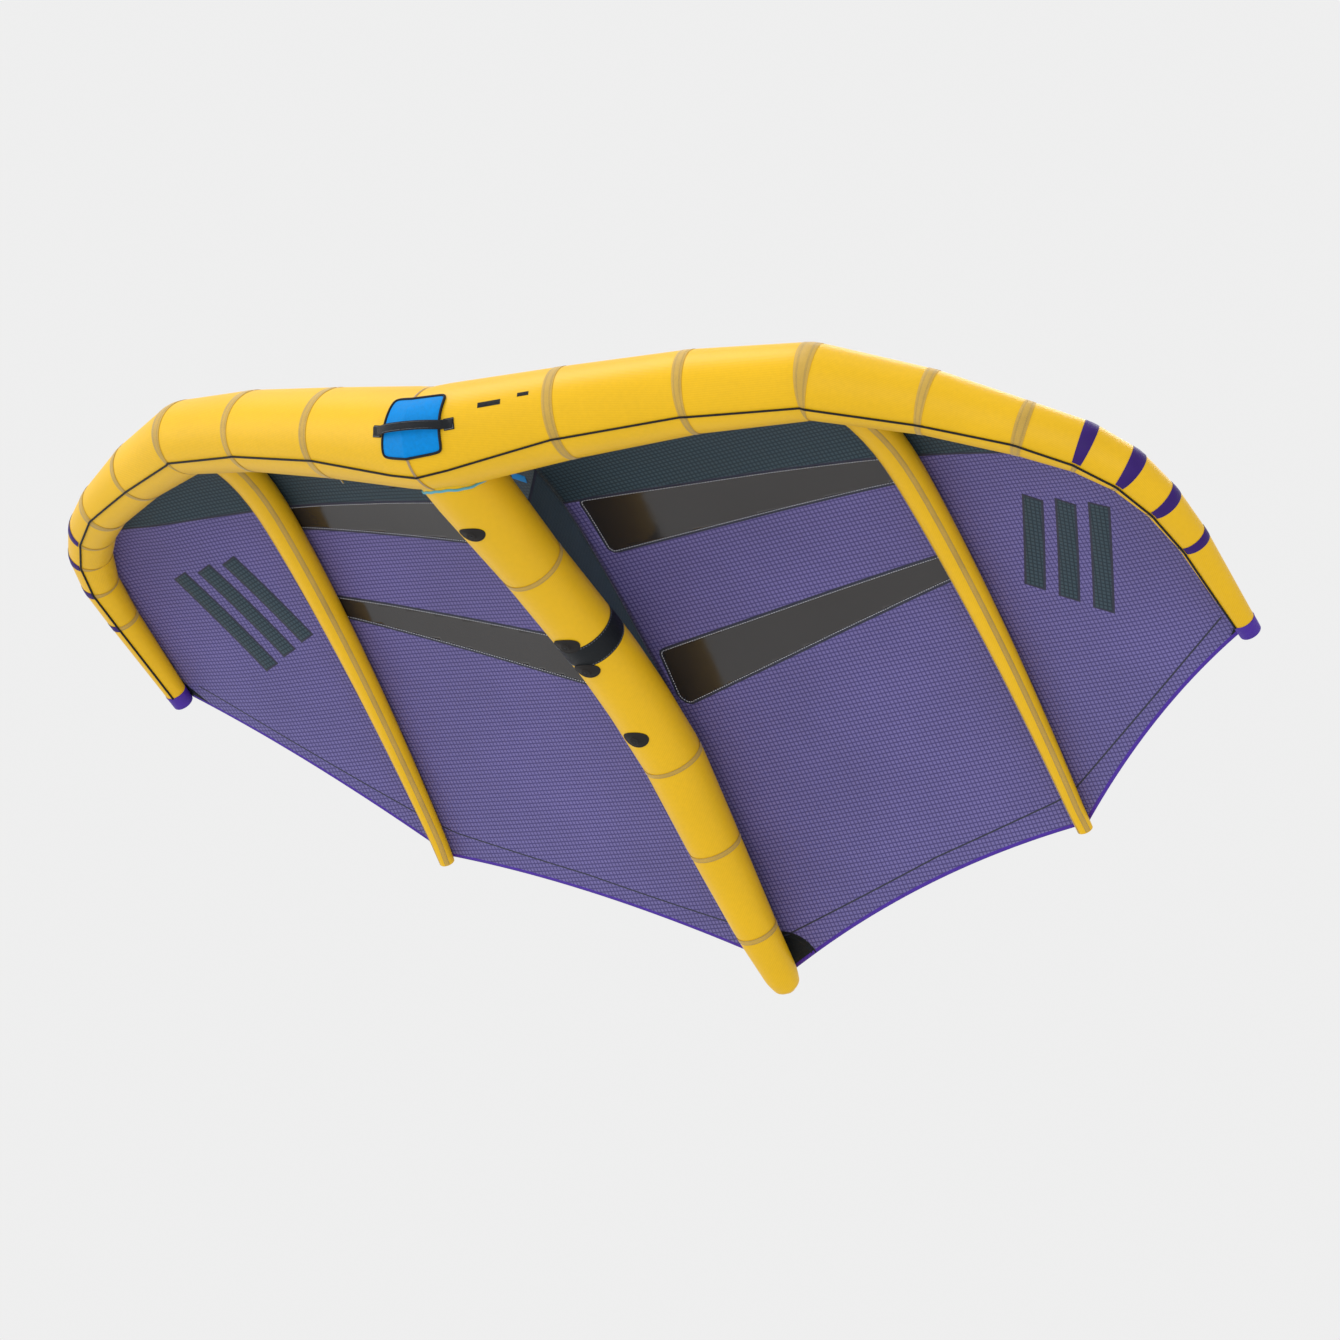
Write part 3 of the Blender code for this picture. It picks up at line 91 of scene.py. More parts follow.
LEADING_Z_SHARES = (0.0, 0.227, 0.462, 0.655, 0.765, 0.8175, 0.882, 0.916, 0.9376, 0.969, 1.0)
LEADING_RADIUS_SHARES = (1.0, 0.877, 0.795, 0.731, 0.623, 0.5225, 0.4925, 0.4475, 0.38, 0.317, 0.209)
LEADING_SIDES = 20
ATTACH_ANGLE = 210.0
PIPING_ANGLES = (-5.0, 7.5, 6.0, 0.5, 1.0, 9.0, 2.5, -2.5, -6.5, -11.0, -16.0)
CENTRE_Y_SHARES = (0.241, 0.43, 0.512, 0.615, 0.757, 0.897, 0.977, 0.994, 1.0)
CENTRE_Z_SHARES = (0.46, 0.93, 1.0, 0.97, 0.545, 0.155, 0.02, 0.0, 0.0)
CENTRE_RADIUS_SHARES = (0.879, 0.858, 0.846, 0.829, 0.719, 0.572, 0.458, 0.363, 0.19)
CENTRE_SIDES = 16
CENTRE_START_SHARE = 0.12
OUTER_TAIL_X_SHARE = 0.598
OUTER_TAIL_Y_SHARE = 0.8326
TAIL_RISE_SHARE = 0.617
OUTER_RADIUS_TAIL_SHARE = 0.43
OUTER_RADIUS_POWER = 1.2
CAMBER_PEAK_SHARE = 0.28
CAMBER_FRONT_POWER = 2.5
CAMBER_REAR_POWER = 1.8
CAMBER_SPAN_POWER = 1.16
SEAM_MIDDLE_SHARE = 0.236
SEAM_TIP_SHARE = 0.262
FRONT_WINDOW_INNER_X_SHARES = (0.026, 0.033)
FRONT_WINDOW_INNER_Y_SHARE = 0.330
FRONT_WINDOW_OUTER_SHARE = 0.293
REAR_WINDOW_TOP_SHARES = (0.494, 0.409)
REAR_WINDOW_BOTTOM_SHARES = (0.582, 0.443)
REAR_WINDOW_INNER_X_SHARES = (0.018, 0.013, 0.025)
REAR_WINDOW_CORNER_SHARE = 0.57
TAIL_PATCH_LENGTH = 0.125
TAIL_PATCH_WIDTH = 0.115
TIP_PATCH_SHARE = 0.8
TIP_PATCH_WIDTH = 0.075
EDGE_TAPE_WIDTH = 0.012
WEB_FRONT = 0.435
WEB_FRONT_SLANT = 0.055
WEB_TAIL_SHARE = 0.975
WEB_WALL = 0.0006
CLEARANCE = 0.0003
TAIL_SEAT = -3
MOUNT_PLACES = (0.292, 0.830, 0.949, 1.268)
MOUNT_NAMES = ("front", "second", "third", "rear")
MOUNTS_OVER_BAND = ("second", "third")
SADDLE_HALF_LENGTH = 0.031
SADDLE_HALF_WIDTH = 0.046
SADDLE_WALL = 0.0025
BOSS_RADIUS = 0.0150
BOSS_HEIGHT = 0.008
BAND_WIDTH = 0.084
BAND_WALL = 0.001
BAND_HALF_ANGLE = 165.0
PAD_LEFT_LOW = 0.073
PAD_RIGHT_LOW = 0.093
PAD_LEFT_HIGH = 0.064
PAD_RIGHT_HIGH = 0.116
PAD_LOW_ANGLE = 21.0
PAD_HIGH_ANGLE = 89.0
PAD_TOP_CROWN = 3.0
RIM_STEPS = 40
PAD_WAIST = 0.004
PAD_WALL = 0.005
STRAP_ANGLE = 50.0
STRAP_LEFT = 0.082
STRAP_RIGHT = 0.120
STRAP_WIDTH = 0.028
STRAP_WALL = 0.0025
STRAP_CLEAR = 0.034
STRAP_HEM_RADIUS = 0.0035
STRAP_RISE_SHARES = ((0.04, 0.10), (0.12, 0.42), (0.22, 0.74), (0.34, 0.94), (0.5, 1.0))
ANCHOR_LENGTH = 0.027
ANCHOR_WIDTH = 0.036
ANCHOR_WALL = 0.002
VALVE_PLACE = -0.260
VALVE_ANGLE = -69.0
FLANGE_RADIUS = 0.034
CAP_EAR_WIDTH = 0.008
CAP_EAR_WALL = 0.0022
CAP_BEND_REACH = 0.0014
CAP_BEND_SKIN = 0.00015
ZIP_START = -0.50
ZIP_END = -0.79
ZIP_ANGLE = -69.0
ZIP_TAPE_WIDTH = 0.028
ZIP_TAPE_WALL = 0.0008
ZIP_COIL_WIDTH = 0.005
ZIP_COIL_HEIGHT = 0.0018

# Sizes of the finish. LIFTS are how far a tape's faces lie over the canopy's under side
CLOTH_WALL = 0.0005
SEAM_BEND = 0.012
MIDDLE_BEND = 0.004
MITRE_REACH = 0.080
MIDDLE_SEAM_WIDTH = 0.007
STRUT_BEND = 0.045
SEAM_PINCH = 0.0016
SEAM_PINCH_LENGTH = 0.014
RING_STEP = 0.013
CASING_SIDES = 96
STRUT_SIDES = 64
CANOPY_STEP = 0.018
SEAM_TAPE_WIDTH = 0.026
SEAM_TAPE_WALL = 0.0006
STRIPE_WIDTH = 0.028
SEAM_LINE_WIDTH = 0.009
HEM_LINE_WIDTH = 0.006
WINDOW_EDGE_WIDTH = 0.013
WINDOW_CORNER = 0.018
STITCH_LENGTH = 0.0050
STITCH_WIDTH = 0.0019
STITCH_HEIGHT = 0.0009
STITCH_PITCH = 0.0095
PIPING_RADIUS = 0.0033
JUNCTION_CORD_RADIUS = 0.0042
JUNCTION_CORD_ANGLE = 118.0
RIM_RADIUS = 0.0042
PAD_CORNER_SHARE = 0.07
FILM_GAP = 0.0040
STRUT_SEAM_ANGLE = 45.0
STRUT_SEAM_WIDTH = 0.016
CENTRE_SEAMS = (0.56, 1.43, 1.76, 2.085)
TAIL_BULGE = 0.75
WINDOW_STITCH_LIFTS = (-0.0010, 0.0015)
HEM_LINE_LIFTS = (-0.0005, 0.0010)
SEAM_LINE_LIFTS = (-0.0006, 0.0011)
EDGE_TAPE_LIFTS = (-0.0006, 0.0012)
BAR_EDGE_LIFTS = (-0.0007, 0.0012)
BAR_LIFTS = (-0.0011, 0.0016)
TAIL_RIM_LIFTS = (-0.0014, 0.0016)
JUNCTION_TAB_LIFTS = (-0.0014, 0.0003)
TAIL_RIM_WIDTH = 0.007
TAIL_RIM_INSETS = (0.002, 0.018)
TIP_CAP_REACH = 0.050
TIP_CAP_WALL = 0.0013
TIP_CAP_ROUND = 0.006
TAPE_LIFT = 0.0002
TAPE_GAP = 4.0
STRIPE_GAP = 14.0
# Each label's start and end along the front tube, its angle and its width
LABELS = ((0.225, 0.300, 66.0, 0.017), (0.355, 0.392, 71.0, 0.013))
# Lines on the right half of the canopy, seen from above
OUTER_BARS = (
    ((1.40, 1.09), (1.54, 0.78)),
    ((1.50, 1.14), (1.65, 0.80)),
    ((1.60, 1.19), (1.76, 0.82)),
)
HEM_PATH = ((0.0, 2.182), (0.033, 2.176), (0.672, 1.962), (1.159, 1.828), (1.233, 1.795),
            (1.965, 1.272))
OUTER_BAR_WIDTH = 0.060
OUTER_BAR_EDGE = 0.006
# The tab's middle line beside the centre strut's front end, on the left half
JUNCTION_TAB = ((0.130, 0.421), (0.084, 0.442))
JUNCTION_TAB_WIDTH = 0.038
SADDLE_HOLE = 0.0048
# The steps of a saddle's edge: how far in from its outline, and its height there
SADDLE_EDGE = ((0.0075, 0.0024), (0.0055, 0.0017), (0.0035, SADDLE_WALL), (0.0012, SADDLE_WALL),
               (0.0, 0.0016), (0.0, 0.0))
PAD_LINING = 0.001
ANCHOR_TOP = CLEARANCE + ANCHOR_WALL + TAPE_LIFT
STRAP_ENDS = {-1: -STRAP_LEFT, 1: STRAP_RIGHT}
STRAP_STEPS = (0.06, 0.09, 0.13, 0.18, 0.24, 0.30, 0.36, 0.43, 0.50)
STRAP_PITCH = 0.004
STRAP_UPPER_WALL = 0.0016
STRAP_UPPER_SHARE = 0.84
STRAP_STITCH_SHARE = 0.36
STRAP_STITCH_LIFT = 0.0018
ANCHOR_STITCH_MARGIN = 0.004
ANCHOR_STITCH_PITCH = 0.0045
ZIP_TOOTH_PITCH = 0.0021
ZIP_TOOTH_WIDTH = 0.0015
SHARP_ANGLE = 35.0
FIRST_STRIPED_SEAM = 6
# Noise seldom leaves this range
NOISE_RANGE = (0.3, 0.7)
TINY = 0.00001

# The photograph's camera, with the middle of the leading edge at zero
CAMERA_PLACE = Vector((16.7999, -13.3331, -15.9791))
CAMERA_RIGHT = Vector((0.7911, 0.4549, 0.4090))
CAMERA_UP = Vector((0.0524, -0.7165, 0.6956))
CAMERA_BACK = Vector((0.6095, -0.5289, -0.5906))
CAMERA_REACH = 400.0
CAMERA_FOCUS = 9061.9
IMAGE_WIDTH = 1340.0
SENSOR_WIDTH = 36.0

# Lamps: where the light comes from, its strength and how soft its shadows are
SUNS = (
    ("key", (-0.45, -0.70, 0.62), 1.25, 30.0),
    ("fill", CAMERA_BACK, 0.75, 60.0),
    ("low_left", (-0.75, -0.55, -0.30), 0.75, 40.0),
    ("overhead", (-0.25, 0.2, 1.0), 0.8, 30.0),
)

UP = Vector((0.0, 0.0, 1.0))
SIDES = {-1: "left", 1: "right"}


def between(first, second, share):
    return first * (1.0 - share) + second * share


def spread(low, high, count):
    return [between(low, high, index / count) for index in range(count + 1)]


def read_table(xs, ys, x):
    """Straight-line reading of a table, held at its ends."""
    if x <= xs[0]:
        return ys[0]
    for left in range(len(xs) - 1):
        if x <= xs[left + 1]:
            share = (x - xs[left]) / (xs[left + 1] - xs[left])
            return between(ys[left], ys[left + 1], share)
    return ys[-1]


def read_smooth(xs, ys, x):
    """A smooth reading of a table, through each of its points."""
    count = len(xs)
    left = 0
    while left < count - 2 and x > xs[left + 1]:
        left += 1
    slopes = []
    for index in (left, left + 1):
        low, high = max(index - 1, 0), min(index + 1, count - 1)
        slopes.append((ys[high] - ys[low]) / (xs[high] - xs[low]))
    width = xs[left + 1] - xs[left]
    t = min(max((x - xs[left]) / width, 0.0), 1.0)
    start, end = t * t * (2.0 * t - 3.0) + 1.0, t * t * (3.0 - 2.0 * t)
    lead, trail = t * (t - 1.0) ** 2, t * t * (t - 1.0)
    return ys[left] * start + ys[left + 1] * end + (slopes[0] * lead + slopes[1] * trail) * width


def smooth_step(value):
    value = min(max(value, 0.0), 1.0)
    return value * value * (3.0 - 2.0 * value)


def last_place(low, high, holds, halvings):
    """The far end of the stretch from low over which something holds."""
    for _ in range(halvings):
        middle = (low + high) / 2.0
        if holds(middle):
            low = middle
        else:
            high = middle
    return low


def ways_along(points, closed=False):
    """The direction of a line at each of its points."""
    last = len(points) - 1
    ways = []
    for index in range(last + 1):
        before = points[index - 1 if index else (last - 1 if closed else 0)]
        after = points[index + 1 if index < last else (1 if closed else last)]
        ways.append((after - before).normalized())
    return ways


class Tube:
    """A round tapering tube, whose straight lengths meet in soft bends."""

    def __init__(self, centres, radii, bend, uprights=None, zero_index=0):
        self.tables = {"centre": centres, "radius": radii, "up": uprights or [UP] * len(centres)}
        gaps = [(b - a).length for a, b in zip(centres, centres[1:])]
        runs = [sum(gaps[:count]) for count in range(len(centres))]
        self.runs = [run - runs[zero_index] for run in runs]
        self.bends = [min([bend] + [gap * 0.45 for gap in gaps[max(index - 1, 0):index + 1]])
                      for index in range(len(centres))]
        self.known = {}
        self.mitre = 0.0

    def slope(self, table, index):
        index = min(max(index, 0), len(table) - 2)
        return (table[index + 1] - table[index]) / (self.runs[index + 1] - self.runs[index])

    def read(self, part, run):
        """The value and its slope along the tube, with the table's corners rounded."""
        table = self.tables[part]
        last = len(self.runs) - 1
        near = min(range(last + 1), key=lambda index: abs(run - self.runs[index]))
        past = run - self.runs[near]
        behind, ahead = self.slope(table, near - 1), self.slope(table, near)
        bend = self.bends[near]
        if near in (0, last) or abs(past) >= bend:
            slope = behind if (past < 0.0 and near > 0) else ahead
            return table[near] + slope * past, slope
        turn = ahead - behind
        value = table[near] + (behind if past < 0.0 else ahead) * past
        value = value + turn * ((bend - abs(past)) ** 2 / (4.0 * bend))
        return value, behind + turn * ((bend + past) / (2.0 * bend))

    def section(self, run):
        """Centre, tangent, side, up and radius at a distance along the tube."""
        if run not in self.known:
            centre, slope = self.read("centre", run)
            tangent = slope.normalized()
            side = tangent.cross(self.read("up", run)[0]).normalized()
            self.known[run] = (centre, tangent, side, side.cross(tangent), self.read("radius", run)[0])
        return self.known[run]

    def outward(self, run, angle):
        """The direction out of the tube: angle 0 is straight down, 90 towards its side."""
        _, _, side, up, _ = self.section(run)
        turn = math.radians(angle)
        return side * math.sin(turn) - up * math.cos(turn)

    def point(self, run, angle, lift=0.0):
        if abs(run) < self.mitre:
            side = -1.0 if run < 0.0 else 1.0
            rim = self.point(side * self.mitre, angle, lift)
            tangent = self.section(side * self.mitre)[1]
            return rim - tangent * (rim.x / tangent.x * (1.0 - abs(run) / self.mitre))
        centre, _, _, _, radius = self.section(run)
        return centre + self.outward(run, angle) * (radius + lift)

    def radius(self, run):
        return self.section(run)[4]

    def degrees(self, run, width):
        """The angle that a width round the tube spans."""
        return math.degrees(width / self.radius(run))

    def stops(self, low, high, step):
        """Places along the tube, closer together in its bends."""
        marks = {low, high}
        for run, bend in zip(self.runs, self.bends):
            marks |= {run + bend * share for share in (-1.0, -0.5, 0.0, 0.5, 1.0)}
        marks = sorted(mark for mark in marks if low <= mark <= high)
        found = []
        for a, b in zip(marks, marks[1:]):
            found += spread(a, b, max(math.ceil((b - a) / step), 1))[:-1]
        found.append(high)
        return [run for index, run in enumerate(found) if index == 0 or run - found[index - 1] > TINY]

    def frame(self, run, angle):
        """Axes on the surface: X along the tube, Z outwards."""
        tangent = self.section(run)[1]
        outward = self.outward(run, angle)
        rows = Matrix((tangent, outward.cross(tangent), outward)).transposed().to_4x4()
        return Matrix.Translation(self.point(run, angle)) @ rows


def leading_edge_tube():
    shares = zip(LEADING_X_SHARES, LEADING_Y_SHARES, LEADING_Z_SHARES)
    right = [Vector((x * HALF_SPAN, y * TIP_SWEEP, z * TIP_RISE)) for x, y, z in shares]
    left = [Vector((-p.x, p.y, p.z)) for p in right[:0:-1]]
    flat = NOSE_RADIUS * math.cos(math.pi / LEADING_SIDES)
    radii = [share * flat for share in LEADING_RADIUS_SHARES]
    tube = Tube(left + right, radii[:0:-1] + radii, SEAM_BEND, zero_index=len(right) - 1)
    tube.bends[len(right) - 1] = MIDDLE_BEND
    tube.mitre = MITRE_REACH
    return tube


LEADING = leading_edge_tube()
TIP_INDEX = len(LEADING_X_SHARES) - 1
SEAM_RUNS = LEADING.runs[TIP_INDEX:]
TIP_RUN = SEAM_RUNS[-1]
ATTACH = [LEADING.point(run, ATTACH_ANGLE) for run in SEAM_RUNS]
ATTACH_X = [point.x for point in ATTACH]
ATTACH_Y = [point.y for point in ATTACH]
ATTACH_Z = [point.z for point in ATTACH]
TAIL_X = OUTER_TAIL_X_SHARE * HALF_SPAN
TAIL_Y = OUTER_TAIL_Y_SHARE * CENTRE_CHORD
STRUT_X = LEADING_X_SHARES[3] * HALF_SPAN


def leading_edge_distance(point):
    """How far a point is outside the leading edge tube."""
    mirrored = Vector((abs(point.x), point.y, point.z))
    rings = list(zip(LEADING.tables["centre"], LEADING.tables["radius"]))[TIP_INDEX:]
    distances = []
    for (start, wide), (end, narrow) in zip(rings, rings[1:]):
        axis = end - start
        share = min(max((mirrored - start).dot(axis) / axis.length_squared, 0.0), 1.0)
        away = mirrored - start - axis * share
        distances.append(away.length - between(wide, narrow, share))
    return min(distances)


def run_to_leading_edge(start, direction, gap, stride=0.008):
    """Follow a line from start until it is gap away from the leading edge."""
    def clear(reach):
        return leading_edge_distance(start + direction * reach) > gap

    near = 0.0
    while near < HALF_SPAN and clear(near + stride):
        near += stride
    return start + direction * last_place(near, near + stride, clear, 24)


def centre_strut_tube():
    flat = CENTRE_STRUT_RADIUS * math.cos(math.pi / CENTRE_SIDES)
    centres = [Vector((0.0, y * (CENTRE_CHORD + CENTRE_TAIL_OVERHANG), z * CENTRE_STRUT_ARCH))
               for y, z in zip(CENTRE_Y_SHARES, CENTRE_Z_SHARES)]
    radii = [share * flat for share in CENTRE_RADIUS_SHARES]
    slope = (centres[1] - centres[0]).normalized()
    nose = run_to_leading_edge(centres[0], -slope, CLEARANCE)
    centres.insert(0, between(nose, centres[0], CENTRE_START_SHARE))
    radii.insert(0, flat)
    return Tube(centres, radii, STRUT_BEND)


CENTRE = centre_strut_tube()


def centre_run(y):
    """Distance along the centre strut of a place seen from above."""
    return read_table([point.y for point in CENTRE.tables["centre"]], CENTRE.runs, y)


TOP_LINE = [CENTRE.point(run, 180.0)
            for run in CENTRE.stops(CENTRE.runs[0], CENTRE.runs[-1], CANOPY_STEP)]


def centre_strut_top(y):
    """Height of the line along the top of the centre strut."""
    return read_table([top.y for top in TOP_LINE], [top.z for top in TOP_LINE], y)


REAR_MIDDLE = Vector((0.0, CENTRE_CHORD,
                      CENTRE.point(CENTRE.runs[TAIL_SEAT], 180.0).z + 2.0 * CLEARANCE))
REAR_TAIL = Vector((TAIL_X, TAIL_Y, TAIL_RISE_SHARE * TIP_RISE))
REAR_TIP = ATTACH[-1]


def rear_point(x):
    """The trailing edge, which curves in between the struts and the tip."""
    if x < TAIL_X:
        start, end, depth = REAR_MIDDLE, REAR_TAIL, SCALLOP_INNER
    else:
        start, end, depth = REAR_TAIL, REAR_TIP, SCALLOP_OUTER
    share = min(max((x - start.x) / (end.x - start.x), 0.0), 1.0)
    return between(start, end, share) - Vector((0.0, depth * 4.0 * share * (1.0 - share), 0.0))


def camber(x, share):
    """Height of the canopy over the straight line from its front to its rear."""
    fullness = max(1.0 - (x / HALF_SPAN) ** 2, 0.0) ** CAMBER_SPAN_POWER
    peak = CAMBER_PEAK_SHARE
    if share < peak:
        form = 1.0 - ((peak - share) / peak) ** CAMBER_FRONT_POWER
    else:
        form = 1.0 - ((share - peak) / (1.0 - peak)) ** CAMBER_REAR_POWER
    return CANOPY_CAMBER * fullness * form


def canopy_point(x, y, lift=0.0):
    """A point on the under side of the canopy, for either side of the wing."""
    across = abs(x)
    front_y = read_table(ATTACH_X, ATTACH_Y, across)
    rear = rear_point(across)
    share = min(max((y - front_y) / max(rear.y - front_y, CLEARANCE), 0.0), 1.0)
    straight = read_table(ATTACH_X, ATTACH_Z, across)
    curved = read_smooth(ATTACH_X, ATTACH_Z, across)
    front_z = between(straight, curved, smooth_step(share / 0.2))
    return Vector((x, y, between(front_z, rear.z, share) + camber(across, share) + lift))


def strut_line_x(y):
    """Where the outer strut lies, seen from above."""
    front = read_table(ATTACH_X, ATTACH_Y, STRUT_X)
    return between(STRUT_X, TAIL_X, (y - front) / (TAIL_Y - front))


def outer_strut_tube(side):
    """An outer strut, hung under the canopy along its whole length."""
    front = read_table(ATTACH_X, ATTACH_Y, STRUT_X) + SEAM_BEND
    tops = [canopy_point(side * strut_line_x(y), y) for y in spread(front, TAIL_Y, 24)]
    centres, radii, uprights = [], [], []
    for top, tangent in zip(tops, ways_along(tops)):
        inner = canopy_point(top.x - SEAM_BEND, top.y)
        outer = canopy_point(top.x + SEAM_BEND, top.y)
        upright = (outer - inner).cross(tangent).normalized()
        share = max((top.y - front) / (TAIL_Y - front), 0.0) ** OUTER_RADIUS_POWER
        radius = OUTER_STRUT_RADIUS * between(1.0, OUTER_RADIUS_TAIL_SHARE, share)
        centres.append(top - upright * (radius + CLEARANCE))
        radii.append(radius)
        uprights.append(upright)
    end = centres[-1] + (centres[-1] - centres[-2]).normalized() * OUTER_STRUT_OVERHANG * 0.5
    return Tube(centres + [end], radii + radii[-1:], SEAM_BEND, uprights + uprights[-1:])


OUTER = {side: outer_strut_tube(side) for side in SIDES}

TAPE_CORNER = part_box("trailing_edge_tape_inner_right")
FRAME_SHIFT = Vector((0.0, TAPE_CORNER[1].y - CENTRE_CHORD, TAPE_CORNER[0].z - REAR_MIDDLE.z))


def seam_y(x):
    """The seam between the front panel and the main panels."""
    share = min(x / HALF_SPAN / LEADING_X_SHARES[4], 1.0)
    return CENTRE_CHORD * between(SEAM_MIDDLE_SHARE, SEAM_TIP_SHARE, share)


def seam_end_x():
    """Where the front seam runs out on the leading edge."""
    return last_place(STRUT_X, ATTACH_X[-1],
                      lambda x: read_table(ATTACH_X, ATTACH_Y, x) < seam_y(x), 40)


def window_outlines():
    """The two windows of one inner bay, front one first."""
    chord = CENTRE_CHORD
    near_x, next_x = FRONT_WINDOW_INNER_X_SHARES
    next_y = FRONT_WINDOW_INNER_Y_SHARE
    outer_front = FRONT_WINDOW_OUTER_SHARE * chord
    front = [
        (near_x * HALF_SPAN, seam_y(near_x * HALF_SPAN)),
        (strut_line_x(seam_y(STRUT_X)), seam_y(STRUT_X)),
        (strut_line_x(outer_front), outer_front),
        (next_x * HALF_SPAN, next_y * chord),
        (near_x * HALF_SPAN, next_y * chord - (next_x - near_x) * HALF_SPAN),
    ]
    top_in, top_out = [share * chord for share in REAR_WINDOW_TOP_SHARES]
    low_in, low_out = [share * chord for share in REAR_WINDOW_BOTTOM_SHARES]
    upper_x, corner_x, lower_x = [share * HALF_SPAN for share in REAR_WINDOW_INNER_X_SHARES]
    rear = [
        (upper_x, top_in),
        (strut_line_x(top_out), top_out),
        (strut_line_x(low_out), low_out),
        (lower_x, low_in),
        (corner_x, REAR_WINDOW_CORNER_SHARE * chord),
    ]
    return front, rear


# Node trees

def add_node(tree, kind, inputs=None, **settings):
    """A shader node with its settings, and each input set or linked."""
    made = tree.nodes.new("ShaderNode" + kind)
    for key, value in settings.items():
        setattr(made, key, value)
    for key, value in (inputs or {}).items():
        if isinstance(value, bpy.types.NodeSocket):
            tree.links.new(value, made.inputs[key])
        else:
            made.inputs[key].default_value = value
    return made


def maths(tree, operation, *values):
    return add_node(tree, "Math", dict(enumerate(values)), operation=operation).outputs[0]


def stretch(tree, value, low, high, out_low=0.0, out_high=1.0):
    """A smooth change from one value to another over a range."""
    inputs = {"Value": value, "From Min": low, "From Max": high, "To Min": out_low, "To Max": out_high}
    return add_node(tree, "MapRange", inputs, interpolation_type="SMOOTHSTEP").outputs[0]


def blend_colour(tree, share, first, second, way="MIX"):
    inputs = {0: share, 6: first, 7: second}
    return add_node(tree, "Mix", inputs, data_type="RGBA", blend_type=way).outputs[2]


def shade(colour):
    return (*colour, 1.0)


def new_group(name, numbers, *outputs):
    """An empty node group, which takes a vector and some numbers with their usual values."""
    group = bpy.data.node_groups.new(name, "ShaderNodeTree")
    sockets = group.interface
    sockets.new_socket("Vector", in_out="INPUT", socket_type="NodeSocketVector")
    for key, value in numbers.items():
        made = sockets.new_socket(key, in_out="INPUT", socket_type="NodeSocketFloat")
        made.default_value = value
    for key in outputs:
        sockets.new_socket(key, in_out="OUTPUT", socket_type="NodeSocketFloat")
    start = group.nodes.new("NodeGroupInput")
    end = group.nodes.new("NodeGroupOutput")
    return group, start.outputs, end.inputs


def wave(tree, value, scale):
    return maths(tree, "SINE", maths(tree, "MULTIPLY", value, 2.0 * math.pi * scale))


def ripstop_group():
    """Thick threads in a grid over a fine plain weave."""
    group, given, found = new_group(
        "ripstop_threads", {"Pitch": 0.01, "Thread": 0.12}, "Threads", "Height")
    split = add_node(group, "SeparateXYZ", {0: given["Vector"]})
    lines, waves = [], []
    for axis in ("X", "Y"):
        count = maths(group, "DIVIDE", split.outputs[axis], given["Pitch"])
        away = maths(group, "PINGPONG", count, 0.5)
        lines.append(stretch(group, away, 0.0, given["Thread"], 1.0, 0.0))
        waves.append(wave(group, count, 8.0))
    threads = maths(group, "MAXIMUM", *lines)
    weave = maths(group, "MULTIPLY", *waves)
    height = maths(group, "MULTIPLY_ADD", weave, 0.18, threads)
    group.links.new(threads, found["Threads"])
    group.links.new(height, found["Height"])
    return group


def rib_group():
    """Slanted ribs of twill, each a row of fine dots."""
    group, given, found = new_group("twill_ribs", {"Pitch": 0.006}, "Ribs")
    split = add_node(group, "SeparateXYZ", {0: given["Vector"]})
    across = maths(group, "DIVIDE", split.outputs["Y"], given["Pitch"])
    rib = stretch(group, maths(group, "PINGPONG", across, 0.5), 0.0, 0.5)
    count = maths(group, "DIVIDE", split.outputs["X"], given["Pitch"])
    dots = wave(group, count, 2.0)
    dotted = maths(group, "MULTIPLY", rib, stretch(group, dots, -1.0, 1.0, 0.75, 1.0))
    group.links.new(dotted, found["Ribs"])
    return group


def mottle_group():
    """Slow changes of tone over a surface, with a finer grain on top."""
    group, given, found = new_group("mottle", {"Scale": 3.0, "Grain": 0.3}, "Value")
    slow = add_node(group, "TexNoise", {"Vector": given["Vector"], "Scale": given["Scale"],
                                        "Detail": 3.0, "Roughness": 0.55}).outputs[0]
    finer = maths(group, "MULTIPLY", given["Scale"], 40.0)
    grain = add_node(group, "TexNoise", {"Vector": given["Vector"], "Scale": finer,
                                         "Detail": 2.0}).outputs[0]
    mixed = add_node(group, "Mix", {0: given["Grain"], 2: slow, 3: grain}, data_type="FLOAT")
    group.links.new(mixed.outputs[0], found["Value"])
    return group


def zigzag_group():
    """Two rows of zigzag thread along a tape: U along it, V across from its middle."""
    group, given, found = new_group(
        "zigzag_rows", {"Pitch": 0.006, "Offset": 0.007, "Swing": 0.0018, "Thread": 0.0007}, "Threads")
    split = add_node(group, "SeparateXYZ", {0: given["Vector"]})
    count = maths(group, "DIVIDE", split.outputs["X"], given["Pitch"])
    saw = maths(group, "SUBTRACT", maths(group, "PINGPONG", count, 0.5), 0.25)
    tooth = maths(group, "MULTIPLY", saw, 4.0)
    middle = maths(group, "MULTIPLY_ADD", tooth, given["Swing"], given["Offset"])
    across = maths(group, "ABSOLUTE", split.outputs["Y"])
    away = maths(group, "ABSOLUTE", maths(group, "SUBTRACT", across, middle))
    threads = stretch(group, away, 0.0, given["Thread"], 1.0, 0.0)
    group.links.new(threads, found["Threads"])
    return group


GROUPS = {
    "ripstop": ripstop_group(),
    "ribs": rib_group(),
    "mottle": mottle_group(),
    "zigzag": zigzag_group(),
}


def use_group(tree, name, inputs):
    return add_node(tree, "Group", inputs, node_tree=GROUPS[name]).outputs


